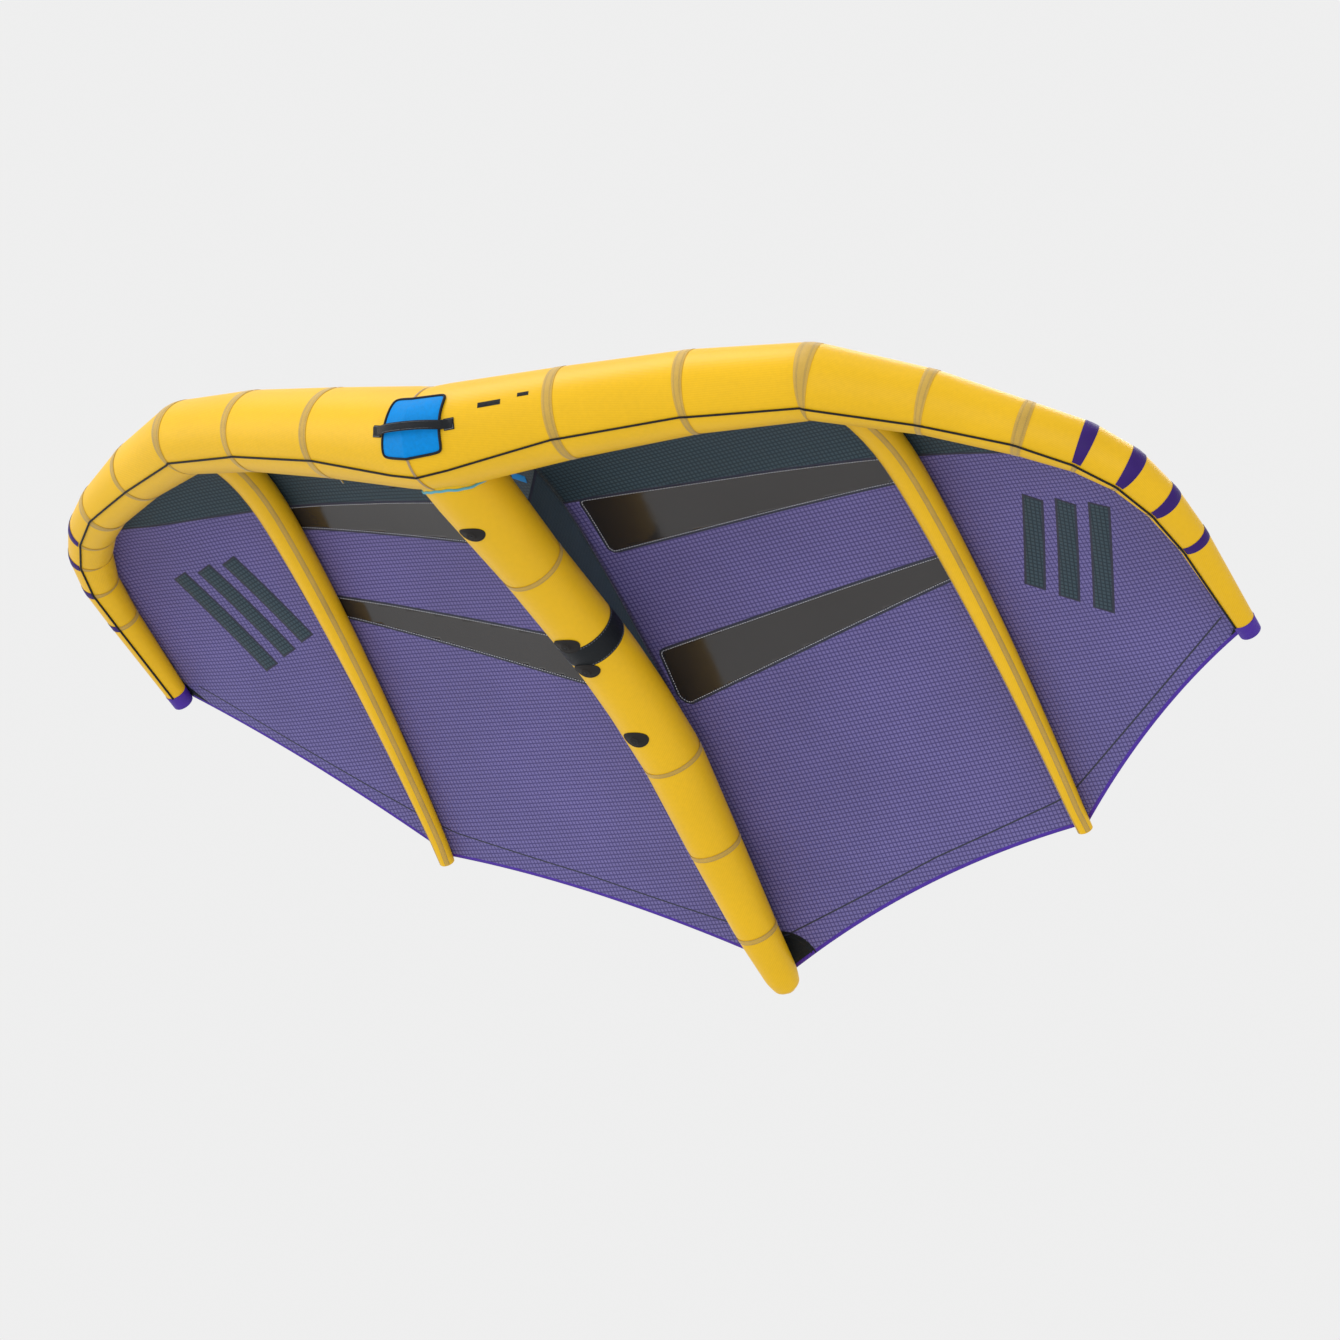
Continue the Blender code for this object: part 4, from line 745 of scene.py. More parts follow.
def new_look(name, roughness, metallic=0.0, specular=0.5, sheen=0.0):
    """A material with its plain settings; the caller links its colour and relief."""
    look = bpy.data.materials.new(name)
    look.use_nodes = True
    inputs = look.node_tree.nodes["Principled BSDF"].inputs
    plain = {"Roughness": roughness, "Metallic": metallic, "Specular IOR Level": specular,
             "Sheen Weight": sheen, "Sheen Roughness": 0.35}
    for key, value in plain.items():
        inputs[key].default_value = value
    return look, look.node_tree, inputs


def cloth_vector(tree, turn=0.0):
    """Places along the cut cloth, in metres."""
    spot = add_node(tree, "UVMap", uv_map="cloth").outputs[0]
    if turn:
        rotation = (0.0, 0.0, math.radians(turn))
        spot = add_node(tree, "Mapping", {"Vector": spot, "Rotation": rotation}).outputs[0]
    return spot


def object_vector(tree):
    return add_node(tree, "TexCoord").outputs["Object"]


def relief(tree, inputs, height, depth, strength=1.0):
    bump = add_node(tree, "Bump", {"Height": height, "Distance": depth, "Strength": strength})
    tree.links.new(bump.outputs[0], inputs["Normal"])


def mottled_colour(tree, inputs, colour, spot, scale, grain, low, high):
    """Link a colour whose tone changes slowly between two levels. Returns the changes."""
    mottle = use_group(tree, "mottle", {"Vector": spot, "Scale": scale, "Grain": grain})[0]
    level = stretch(tree, mottle, *NOISE_RANGE, low, high)
    tree.links.new(blend_colour(tree, 1.0, colour, level, "MULTIPLY"), inputs["Base Color"])
    return mottle


def mottled_roughness(tree, inputs, mottle, roughness, swing):
    rough = stretch(tree, mottle, *NOISE_RANGE, roughness - swing, roughness + swing)
    tree.links.new(rough, inputs["Roughness"])


def woven_look(name, colour, thread_colour, pitch, thread, turn, roughness, tone, **settings):
    """Ripstop cloth: ground colour, thread colour, grid pitch and slow changes of tone."""
    look, tree, inputs = new_look(name, roughness, **settings)
    spot = cloth_vector(tree, turn)
    ripstop = use_group(tree, "ripstop", {"Vector": spot, "Pitch": pitch, "Thread": thread})
    woven = blend_colour(tree, ripstop["Threads"], shade(colour), shade(thread_colour))
    mottle = mottled_colour(tree, inputs, woven, spot, 2.2, 0.35, 1.0 - tone, 1.0 + tone)
    mottled_roughness(tree, inputs, mottle, roughness, 0.06)
    relief(tree, inputs, ripstop["Height"], 0.0004)
    return look


def tape_look():
    """Tan tape with two rows of zigzag thread."""
    look, tree, inputs = new_look("tan_seam_tape", 0.6, sheen=0.2)
    rows = use_group(tree, "zigzag", {"Vector": cloth_vector(tree), "Thread": 0.0009})[0]
    sewn = blend_colour(tree, rows, shade((0.60, 0.370, 0.055)), shade((0.27, 0.19, 0.09)))
    mottle = mottled_colour(tree, inputs, sewn, object_vector(tree), 9.0, 0.5, 0.85, 1.12)
    relief(tree, inputs, maths(tree, "MULTIPLY_ADD", mottle, 0.3, rows), 0.0004)
    return look


def grained_look(name, colour, scale, depth, roughness, tone=0.12, **settings):
    """Rubber, foam, moulded plastic or metal with a fine grain."""
    look, tree, inputs = new_look(name, roughness, **settings)
    spot = object_vector(tree)
    mottle = mottled_colour(tree, inputs, shade(colour), spot, scale, 0.5, 1.0 - tone, 1.0 + tone)
    mottled_roughness(tree, inputs, mottle, roughness, 0.08)
    relief(tree, inputs, mottle, depth)
    return look


def casing_look():
    """Yellow sailcloth with fine slanted ribs."""
    look, tree, inputs = new_look("yellow_casing_cloth", 0.42, specular=0.28)
    ribs = use_group(tree, "ribs", {"Vector": cloth_vector(tree, 9.0), "Pitch": 0.0052})["Ribs"]
    woven = blend_colour(tree, ribs, shade((0.87, 0.500, 0.007)), shade((0.94, 0.560, 0.011)))
    mottled_colour(tree, inputs, woven, cloth_vector(tree), 1.6, 0.3, 0.95, 1.05)
    relief(tree, inputs, ribs, 0.0002)
    return look


def webbing_look():
    """Flat black webbing: ribs along it, crossed by fine picks."""
    look, tree, inputs = new_look("black_webbing", 0.62, specular=0.25, sheen=0.05)
    split = add_node(tree, "SeparateXYZ", {0: cloth_vector(tree)})
    ribs = wave(tree, split.outputs["Y"], 1.0 / 0.0022)
    shift = maths(tree, "MULTIPLY", ribs, 1.4)
    rows = maths(tree, "MULTIPLY_ADD", split.outputs["X"], 2.0 * math.pi / 0.0016, shift)
    picks = maths(tree, "SINE", rows)
    height = maths(tree, "MULTIPLY_ADD", picks, 0.6, ribs)
    tone = stretch(tree, height, -1.4, 1.4, 0.0, 1.0)
    colour = blend_colour(tree, tone, shade((0.004, 0.005, 0.007)), shade((0.020, 0.024, 0.030)))
    tree.links.new(colour, inputs["Base Color"])
    relief(tree, inputs, height, 0.0003)
    return look


def film_look():
    """Dark smoke film: smooth and glossy, with faint waves."""
    look, tree, inputs = new_look("smoke_film", 0.11, specular=0.5)
    spot = cloth_vector(tree)
    waves = use_group(tree, "mottle", {"Vector": spot, "Scale": 3.5, "Grain": 0.05})[0]
    colour = blend_colour(tree, waves, shade((0.022, 0.019, 0.018)), shade((0.031, 0.028, 0.028)))
    tree.links.new(colour, inputs["Base Color"])
    relief(tree, inputs, waves, 0.004, 0.5)
    return look


RIPSTOP = {"specular": 0.25, "sheen": 0.1}
# Name, ground, threads, pitch, thread's share, turn, roughness, change of tone
WOVEN_LOOKS = (
    ("violet_ripstop", (0.184, 0.158, 0.390), (0.060, 0.048, 0.172),
     0.014, 0.28, 4.0, 0.62, 0.10, RIPSTOP),
    ("teal_ripstop", (0.044, 0.076, 0.098), (0.014, 0.027, 0.039),
     0.014, 0.28, 4.0, 0.62, 0.10, RIPSTOP),
    ("navy_cloth", (0.044, 0.068, 0.090), (0.032, 0.050, 0.068),
     0.014, 0.22, 0.0, 0.66, 0.14, RIPSTOP),
    ("black_patch_cloth", (0.005, 0.007, 0.009), (0.012, 0.015, 0.018),
     0.004, 0.22, 0.0, 0.5, 0.15, {"specular": 0.18}),
)
# Name, colour, scale of the grain, its depth, roughness
GRAINED_LOOKS = (
    ("navy_edge_cloth", (0.020, 0.022, 0.046), 60.0, 0.0003, 0.7, {"sheen": 0.2}),
    ("violet_binding", (0.070, 0.022, 0.340), 60.0, 0.0004, 0.55, {"specular": 0.3}),
    ("violet_stripe", (0.036, 0.010, 0.150), 30.0, 0.0002, 0.55, {"specular": 0.2}),
    ("tan_thread", (0.42, 0.28, 0.14), 200.0, 0.0003, 0.6, {}),
    ("blue_foam_cover", (0.0, 0.265, 0.74), 90.0, 0.0006, 0.5, {"tone": 0.10, "specular": 0.12}),
    ("black_rubber", (0.018, 0.016, 0.015), 120.0, 0.0003, 0.70, {"specular": 0.20}),
    ("dark_piping", (0.006, 0.007, 0.010), 200.0, 0.0004, 0.6, {"specular": 0.25}),
    ("blue_seam_cord", (0.100, 0.420, 0.560), 200.0, 0.0005, 0.6, {}),
    ("white_thread", (0.80, 0.82, 0.86), 300.0, 0.0002, 0.6, {}),
    ("grey_thread", (0.22, 0.25, 0.28), 300.0, 0.0002, 0.6, {}),
    ("grey_plastic", (0.16, 0.17, 0.18), 150.0, 0.0002, 0.42, {}),
    ("brushed_steel", (0.55, 0.56, 0.57), 180.0, 0.0001, 0.3, {"metallic": 1.0}),
    # Painted shade: steel made far darker than its own colour, so the inserts' bores read dark
    ("insert_steel_painted_shade", (0.05, 0.05, 0.055), 180.0, 0.0001, 0.5, {"metallic": 1.0}),
    ("bladder_film", (0.72, 0.74, 0.76), 12.0, 0.0008, 0.3, {}),
)


def make_looks():
    """Every finish on the wing, by its name."""
    looks = {"yellow_casing_cloth": casing_look(), "tan_seam_tape": tape_look(),
             "smoke_film": film_look(), "black_webbing": webbing_look()}
    for *values, settings in WOVEN_LOOKS:
        looks[values[0]] = woven_look(*values, **settings)
    for *values, settings in GRAINED_LOOKS:
        looks[values[0]] = grained_look(*values, **settings)
    return looks


LOOKS = make_looks()


# Making pieces

def new_mesh(name, bm):
    """A finished bmesh as a mesh."""
    mesh = bpy.data.meshes.new(name)
    bm.to_mesh(mesh)
    bm.free()
    return mesh


def new_object(name, data):
    made = bpy.data.objects.new(name, data)
    bpy.context.scene.collection.objects.link(made)
    return made


def add_piece(name, bm, look, body="wing", replaces=None):
    """Finish a bmesh laid out round the leading edge as a piece of the frame."""
    bmesh.ops.translate(bm, verts=bm.verts[:], vec=FRAME_SHIFT)
    mesh = new_mesh(name, bm)
    mesh.shade_smooth()
    mesh.set_sharp_from_angle(angle=math.radians(SHARP_ANGLE))
    mesh.materials.append(LOOKS[look])
    piece = new_object(name, mesh)
    if body:
        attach(piece, body)
    if replaces:
        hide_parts(replaces)
    return piece


def thicken(piece, thickness, offset):
    """Give a single skin its wall: offset 1 is outwards, -1 inwards."""
    wall = piece.modifiers.new("wall", "SOLIDIFY")
    wall.thickness = thickness
    wall.offset = offset


def skin(us, vs, place, uv=None, capped=True):
    """A grid laid on a surface: its edges merge where they meet, and its ends are closed."""
    bm = bmesh.new()
    layer = bm.loops.layers.uv.new("cloth")
    wide, deep = len(us) - 1, len(vs) - 1
    bmesh.ops.create_grid(bm, x_segments=wide, y_segments=deep, size=1.0)
    spots = {}
    for vert in bm.verts:
        column = round((vert.co.x + 1.0) / 2.0 * wide)
        row = round((vert.co.y + 1.0) / 2.0 * deep)
        spots[vert] = (us[column], vs[row])
    for face in bm.faces:
        for loop in face.loops:
            spot = spots[loop.vert]
            loop[layer].uv = uv(*spot) if uv else spot
    for vert, spot in spots.items():
        vert.co = place(*spot)
    bmesh.ops.remove_doubles(bm, verts=bm.verts[:], dist=TINY)
    if capped:
        rims = [edge for edge in bm.edges if edge.is_boundary]
        bmesh.ops.holes_fill(bm, edges=rims, sides=0)
        turn_outward(bm)
    return bm


def turn_outward(bm, out=None):
    """Turn the faces of a closed shape outwards, or those of an open skin towards out."""
    bmesh.ops.recalc_face_normals(bm, faces=bm.faces[:])
    if out is None:
        wrong = bm.calc_volume(signed=True) < 0.0
    else:
        wrong = bm.faces[:][0].normal.dot(out) < 0.0
    if wrong:
        bmesh.ops.reverse_faces(bm, faces=bm.faces[:])


def strip(stops, width, low, high, place, scale=1.0):
    """A flat strip with rounded edges. place turns a stop, an offset across and a lift to a point."""
    half, soft = width / 2.0, min(width / 5.0, (high - low) * 1.2)
    middle = (low + high) / 2.0
    loop = [(-half, middle), (-half + soft, low), (0.0, low), (half - soft, low), (half, middle),
            (half - soft, high), (0.0, high), (-half + soft, high), (-half, middle)]
    return skin(
        stops, range(len(loop)),
        lambda stop, index: place(stop, *loop[index]),
        uv=lambda stop, index: (stop * scale, loop[index][0]),
    )


def cord(points, radius, sides=10):
    """A round cord through points, closed when its ends meet."""
    ring = (points[0] - points[-1]).length < TINY
    ways = ways_along(points, ring)
    side = ways[0].orthogonal().normalized()
    frames = []
    for point, ahead in zip(points, ways):
        side = (side - ahead * side.dot(ahead)).normalized()
        frames.append((point, side, ahead.cross(side)))
    if ring:
        frames[-1] = frames[0]

    def place(index, turn):
        point, across, up = frames[index]
        return point + (across * math.cos(turn) + up * math.sin(turn)) * radius

    pace = sum((b - a).length for a, b in zip(points, points[1:])) / (len(points) - 1)
    return skin(range(len(points)), spread(0.0, 2.0 * math.pi, sides), place,
                uv=lambda index, turn: (index * pace, turn * radius))


def join(meshes):
    """Several bmeshes as one."""
    whole = bmesh.new()
    for bm in meshes:
        part = new_mesh("part", bm)
        whole.from_mesh(part)
        bpy.data.meshes.remove(part)
    return whole


def stitches(places, length=STITCH_LENGTH, width=STITCH_WIDTH, height=STITCH_HEIGHT):
    """Short raised threads: each place is a point, the way ahead and the way out."""
    seed = bmesh.new()
    bmesh.ops.create_cube(seed, size=1.0)
    top = [vert for vert in seed.verts if vert.co.z > 0.0]
    bmesh.ops.scale(seed, vec=(0.7, 0.6, 1.0), verts=top)
    bmesh.ops.scale(seed, vec=(length, width, height), verts=seed.verts[:])
    pattern = new_mesh("pattern", seed)
    whole = bmesh.new()
    for point, ahead, out in places:
        ahead = ahead.normalized()
        across = out.cross(ahead).normalized()
        turn = Matrix((ahead, across, ahead.cross(across))).transposed().to_4x4()
        stitch = pattern.copy()
        stitch.transform(Matrix.Translation(point) @ turn)
        whole.from_mesh(stitch)
        bpy.data.meshes.remove(stitch)
    bpy.data.meshes.remove(pattern)
    return whole


def walk(path, step, closed=False):
    """Even steps along a line of flat points, as places and directions."""
    points = [Vector(point) for point in path]
    if closed:
        points.append(points[0])
    gaps = [(b - a).length for a, b in zip(points, points[1:])]
    marks = [sum(gaps[:count]) for count in range(len(points))]
    count = max(round(marks[-1] / step), 1)
    found = []
    for index in range(count + 1):
        mark = marks[-1] * index / count
        left = 0
        while left < len(gaps) - 1 and mark > marks[left + 1]:
            left += 1
        share = (mark - marks[left]) / max(gaps[left], TINY)
        way = (points[left + 1] - points[left]).normalized()
        found.append((points[left].lerp(points[left + 1], share), way))
    return found, marks[-1]


def rounded(path, radius, steps=5):
    """A closed outline with its corners rounded."""
    points = [Vector(point) for point in path]
    found = []
    for index, corner in enumerate(points):
        before, after = points[index - 1], points[(index + 1) % len(points)]
        reach = min(radius, (before - corner).length * 0.45, (after - corner).length * 0.45)
        start = corner + (before - corner).normalized() * reach
        end = corner + (after - corner).normalized() * reach
        for step in range(steps + 1):
            t = step / steps
            found.append(start.lerp(corner, t).lerp(corner.lerp(end, t), t))
    return found


def canopy_strip(path, width, lifts, side, closed=False):
    """A tape sewn along a line on the canopy, seen from above."""
    stops, length = walk(path, CANOPY_STEP, closed)
    spots = [spot for spot, _ in stops]
    ways = ways_along(spots, closed)

    def place(index, offset, lift):
        spot, way = spots[index], ways[index]
        x, y = spot.x - way.y * offset, spot.y + way.x * offset
        return canopy_point(side * x, y, lift)

    return strip(range(len(spots)), width, *lifts, place, scale=length / (len(spots) - 1))


def canopy_stitches(outline, offset, side, lift):
    """A row of stitches beside an outline on the canopy, on its under side or its top."""
    places = []
    for spot, way in walk(outline, STITCH_PITCH, closed=True)[0][:-1]:
        x, y = spot.x - way.y * offset, spot.y + way.x * offset
        here = canopy_point(side * x, y, lift)
        there = canopy_point(side * (x + way.x * STITCH_PITCH), y + way.y * STITCH_PITCH, lift)
        places.append((here, there - here, UP if lift > 0.0 else -UP))
    return places


# The leading edge

def casing_lift(seams):
    """The cloth pulls in a little at each seam."""
    def lift(run):
        nearness = [math.exp(-((run - seam) / SEAM_PINCH_LENGTH) ** 2) for seam in seams]
        return -sum(SEAM_PINCH * near for near in nearness)
    return lift


def tube_cloth(tube, low, high, sides, seams, start_angle=ATTACH_ANGLE, step=RING_STEP, inset=0.0):
    """The cloth of an inflated tube between two distances along it, closed at both ends."""
    lift = casing_lift(seams)
    stops = tube.stops(low, high, step)
    angles = spread(start_angle, start_angle + 360.0, sides)
    return skin(
        stops, angles,
        lambda run, angle: tube.point(run, angle, lift(run) - inset),
        uv=lambda run, angle: (run, math.radians(angle - start_angle - 180.0) * tube.radius(run)),
    )


def ring_strip(tube, run, width, wall, angles, lift=TAPE_LIFT):
    """A tape sewn round a tube."""
    return strip(angles, width, lift, lift + wall,
                 lambda angle, offset, rise: tube.point(run + offset, angle, rise),
                 scale=math.radians(1.0) * tube.radius(run))


def long_strip(tube, low, high, angle, width, wall, lift=TAPE_LIFT):
    """A tape sewn along a tube."""
    def place(run, offset, rise):
        return tube.point(run, angle + tube.degrees(run, offset), rise)

    return strip(tube.stops(low, high, RING_STEP), width, lift, lift + wall, place)


def add_film(name, tube, low, high, sides, start_angle, step):
    """The film bladder inside a tube."""
    film = tube_cloth(tube, low, high, sides, [], start_angle, step, FILM_GAP)
    add_piece(name + "_film", film, "bladder_film", replaces=name + "_bladder")




def piping_angle(run):
    return read_table(SEAM_RUNS, PIPING_ANGLES, abs(run))


def add_leading_edge():
    """Casing, seams, piping, tip stripes and tip caps."""
    seam_runs = SEAM_RUNS[1:-1]
    seams = [side * run for side in SIDES for run in seam_runs] + [0.0]
    cloth = tube_cloth(LEADING, -TIP_RUN, TIP_RUN, CASING_SIDES, seams)
    valve = LEADING.point(VALVE_PLACE, VALVE_ANGLE)
    hidden = [face for face in cloth.faces
              if (face.calc_center_median() - valve).length < FLANGE_RADIUS * 0.7]
    bmesh.ops.delete(cloth, geom=hidden, context="FACES")
    add_piece("leading_edge_cloth", cloth, "yellow_casing_cloth",
              replaces="leading_edge_casing")
    low, high = ATTACH_ANGLE - 360.0 + TAPE_GAP, ATTACH_ANGLE - TAPE_GAP

    def tape(run, width, angles):
        return ring_strip(LEADING, run, width, SEAM_TAPE_WALL, angles)

    tapes, stripes = [], []
    for side in SIDES:
        for index, run in enumerate(seam_runs, start=1):
            if index < FIRST_STRIPED_SEAM:
                tapes.append(tape(side * run, SEAM_TAPE_WIDTH, spread(low, high, 90)))
                continue
            foot = piping_angle(run) + 3.0
            tapes.append(tape(side * run, SEAM_TAPE_WIDTH * 0.8, spread(low, foot, 60)))
            angles = spread(foot + TAPE_GAP, ATTACH_ANGLE - STRIPE_GAP, 60)
            stripes.append(tape(side * run, STRIPE_WIDTH, angles))
    middle = tape(0.0, MIDDLE_SEAM_WIDTH, spread(low, high, 90))
    labels = [long_strip(LEADING, *label, CLOTH_WALL) for label in LABELS]
    add_piece("leading_edge_seam_tapes", join(tapes), "tan_seam_tape")
    add_piece("leading_edge_middle_seam", middle, "tan_thread")
    add_piece("leading_edge_labels", join(labels), "black_patch_cloth")
    add_piece("leading_edge_stripes", join(stripes), "violet_stripe")
    stops = LEADING.stops(-TIP_RUN + TIP_CAP_REACH, TIP_RUN - TIP_CAP_REACH, RING_STEP)
    line = [LEADING.point(run, piping_angle(run), PIPING_RADIUS * 0.8) for run in stops]
    add_piece("leading_edge_piping_cord", cord(line, PIPING_RADIUS), "dark_piping",
              replaces="leading_edge_piping")
    add_film("leading_edge", LEADING, -TIP_RUN + 0.01, TIP_RUN - 0.01, 32, ATTACH_ANGLE, 0.05)
    for side in SIDES:
        add_tip_cap(side)


def add_tip_cap(side):
    """A violet cup over the end of the leading edge, with a rounded end and a hem."""
    end = side * TIP_RUN
    centre, tangent, _, _, radius = LEADING.section(end)
    profile = [(-TIP_CAP_REACH, 0.0004), (-TIP_CAP_REACH, TIP_CAP_WALL + 0.0004),
               (-TIP_CAP_REACH + 0.004, TIP_CAP_WALL + 0.0008),
               (-TIP_CAP_REACH + 0.008, TIP_CAP_WALL), (0.0, TIP_CAP_WALL)]
    rings = 8

    def place(index, angle):
        out = LEADING.outward(end, angle)
        if index < len(profile):
            along, lift = profile[index]
            run = end + side * along
            return LEADING.section(run)[0] + out * (LEADING.radius(run) + lift)
        step = index - len(profile) + 1
        turn = math.radians(90.0 * step / rings)
        reach = TINY * 0.1
        if step < rings:
            reach = (radius + TIP_CAP_WALL) * (0.45 + 0.55 * math.cos(turn))
        return centre + tangent * side * (math.sin(turn) * TIP_CAP_ROUND) + out * reach

    cap = skin(range(len(profile) + rings), spread(0.0, 360.0, 48), place,
               uv=lambda index, angle: (index * TIP_CAP_ROUND, math.radians(angle) * radius))
    add_piece("tip_cap_cloth_" + SIDES[side], cap, "violet_binding",
              replaces="tip_cap_" + SIDES[side])


# Struts

def strut_mouth(tube, side, angle, gap):
    """Where a line along the strut's side meets the leading edge."""
    first = tube.section(tube.runs[0])
    if side == 0:
        direction = -first[1]
    else:
        front = canopy_point(side * STRUT_X, read_table(ATTACH_X, ATTACH_Y, STRUT_X))
        direction = (front - tube.point(tube.runs[0], 180.0)).normalized()
    return run_to_leading_edge(tube.point(tube.runs[0], angle), direction, gap)


def strut_cloth(tube, side, sides=STRUT_SIDES):
    """A strut's casing, from inside the leading edge to its rounded end."""
    stops = tube.stops(tube.runs[0], tube.runs[-1], RING_STEP)
    angles = spread(180.0, 540.0, sides)
    last = tube.runs[-1]
    centre, tangent, _, _, radius = tube.section(last)
    mouths = {angle: strut_mouth(tube, side, angle, -0.012) for angle in angles}
    rings = 7
    marks = ["mouth", "neck"] + stops + list(range(1, rings + 1))
    seams = [centre_run(y) for y in CENTRE_SEAMS] if side == 0 else []
    lift = casing_lift(seams)

    def place(index, angle):
        mark = marks[index]
        start = tube.point(tube.runs[0], angle)
        if index == 0:
            return mouths[angle]
        if index == 1:
            return mouths[angle].lerp(start, 0.5)
        if index < 2 + len(stops):
            return tube.point(mark, angle, lift(mark))
        turn = math.radians(90.0 * mark / rings)
        return (centre + tangent * (math.sin(turn) * radius * 0.32)
                + tube.outward(last, angle) * (radius * max(math.cos(turn), 0.03)))

    def cloth_place(index, angle):
        if index < 2:
            return (index - 2) * 0.04, math.radians(angle - 360.0) * tube.radius(tube.runs[0])
        run = marks[index] if index < 2 + len(stops) else last
        return run - tube.runs[0], math.radians(angle - 360.0) * tube.radius(run)

    return skin(range(len(marks)), angles, place, uv=cloth_place)


def add_struts():
    tapes = [ring_strip(CENTRE, centre_run(y), SEAM_TAPE_WIDTH * 0.65, SEAM_TAPE_WALL,
                        spread(-172.0, 172.0, 80)) for y in CENTRE_SEAMS]
    tubes = {"centre_strut": (CENTRE, 0), "strut_left": (OUTER[-1], -1), "strut_right": (OUTER[1], 1)}
    for name, (tube, side) in tubes.items():
        low, high = tube.runs[0], tube.runs[-1]
        add_piece(name + "_cloth", strut_cloth(tube, side), "yellow_casing_cloth",
                  replaces=name + "_casing")
        add_film(name, tube, low, high - 0.012, 24, 180.0, 0.06)
        if side:
            tapes += [long_strip(tube, low + 0.03, high, angle, STRUT_SEAM_WIDTH, SEAM_TAPE_WALL)
                      for angle in (-STRUT_SEAM_ANGLE, STRUT_SEAM_ANGLE)]
    add_piece("strut_seam_tapes", join(tapes), "tan_seam_tape")
    add_junction_cord()


def add_junction_cord():
    """A cord that waves round the centre strut where it meets the leading edge."""
    start = CENTRE.runs[0]
    ahead = CENTRE.section(start)[1]
    line = []
    for step, angle in enumerate(spread(-JUNCTION_CORD_ANGLE, JUNCTION_CORD_ANGLE, 120)):
        wander = 0.0040 * math.sin(step * 0.17 + 0.6) + 0.0012 * math.sin(step * 0.6)
        spot = strut_mouth(CENTRE, 0, angle, 0.0012)
        line.append(spot + ahead * (wander + 0.005) + CENTRE.outward(start, angle) * 0.0014)
    add_piece("strut_junction_cord", cord(line, JUNCTION_CORD_RADIUS, 8), "blue_seam_cord")


# Canopy

def tail_curve(count, inset=0.0):
    """The rounded inner edge of the tail patch, seen from above."""
    start = Vector((0.0, CENTRE_CHORD - EDGE_TAPE_WIDTH - TAIL_PATCH_LENGTH + inset))
    end = Vector((TAIL_PATCH_WIDTH - inset, rear_point(TAIL_PATCH_WIDTH).y))
    corner = Vector((end.x * TAIL_BULGE, start.y))
    return [tuple(start.lerp(corner, t).lerp(corner.lerp(end, t), t)) for t in spread(0.0, 1.0, count)]


def zone_lines():
    """The flat outlines of the sewn zones of one half, seen from above, smallest zones first."""
    window_front, window_rear = window_outlines()
    tail = tail_curve(4)
    tail += [(TAIL_PATCH_WIDTH, CENTRE_CHORD), (0.0, CENTRE_CHORD)]
    tip_y = between(ATTACH_Y[-2], ATTACH_Y[-1], TIP_PATCH_SHARE)
    tip_x = read_table(ATTACH_Y[-2:], ATTACH_X[-2:], tip_y)
    edge_x = ATTACH_X[-1] - EDGE_TAPE_WIDTH - TIP_PATCH_WIDTH
    tip = [(tip_x + EDGE_TAPE_WIDTH, tip_y), (edge_x, rear_point(edge_x).y),
           (edge_x, CENTRE_CHORD), (HALF_SPAN, CENTRE_CHORD)]
    return window_front, window_rear, tail, tip


def inside(x, y, outline):
    """Whether a place lies within an outline."""
    found = False
    for (ax, ay), (bx, by) in zip(outline, outline[1:] + outline[:1]):
        if (ay > y) != (by > y) and x < (bx - ax) * (y - ay) / (by - ay) + ax:
            found = not found
    return found


ZONES = (
    ("window_front", "smoke_film", "window_film"),
    ("window_rear", "smoke_film", "window_film"),
    ("tail_patch", "black_patch_cloth", "black_cloth"),
    ("tip_patch", "black_patch_cloth", "black_cloth"),
    ("canopy_front_panel", "teal_ripstop", "teal_cloth"),
    ("canopy_inner_panel", "violet_ripstop", "violet_cloth"),
    ("canopy_outer_panel", "violet_ripstop", "violet_cloth"),
)
FRONT_PANEL, INNER_PANEL, OUTER_PANEL = 4, 5, 6


def zone_at(x, y, outlines):
    """The place in ZONES of the zone at a place seen from above."""
    for index, outline in enumerate(outlines):
        if inside(x, y, outline):
            return index
    if y < seam_y(x):
        return FRONT_PANEL
    return INNER_PANEL if x < strut_line_x(y) else OUTER_PANEL


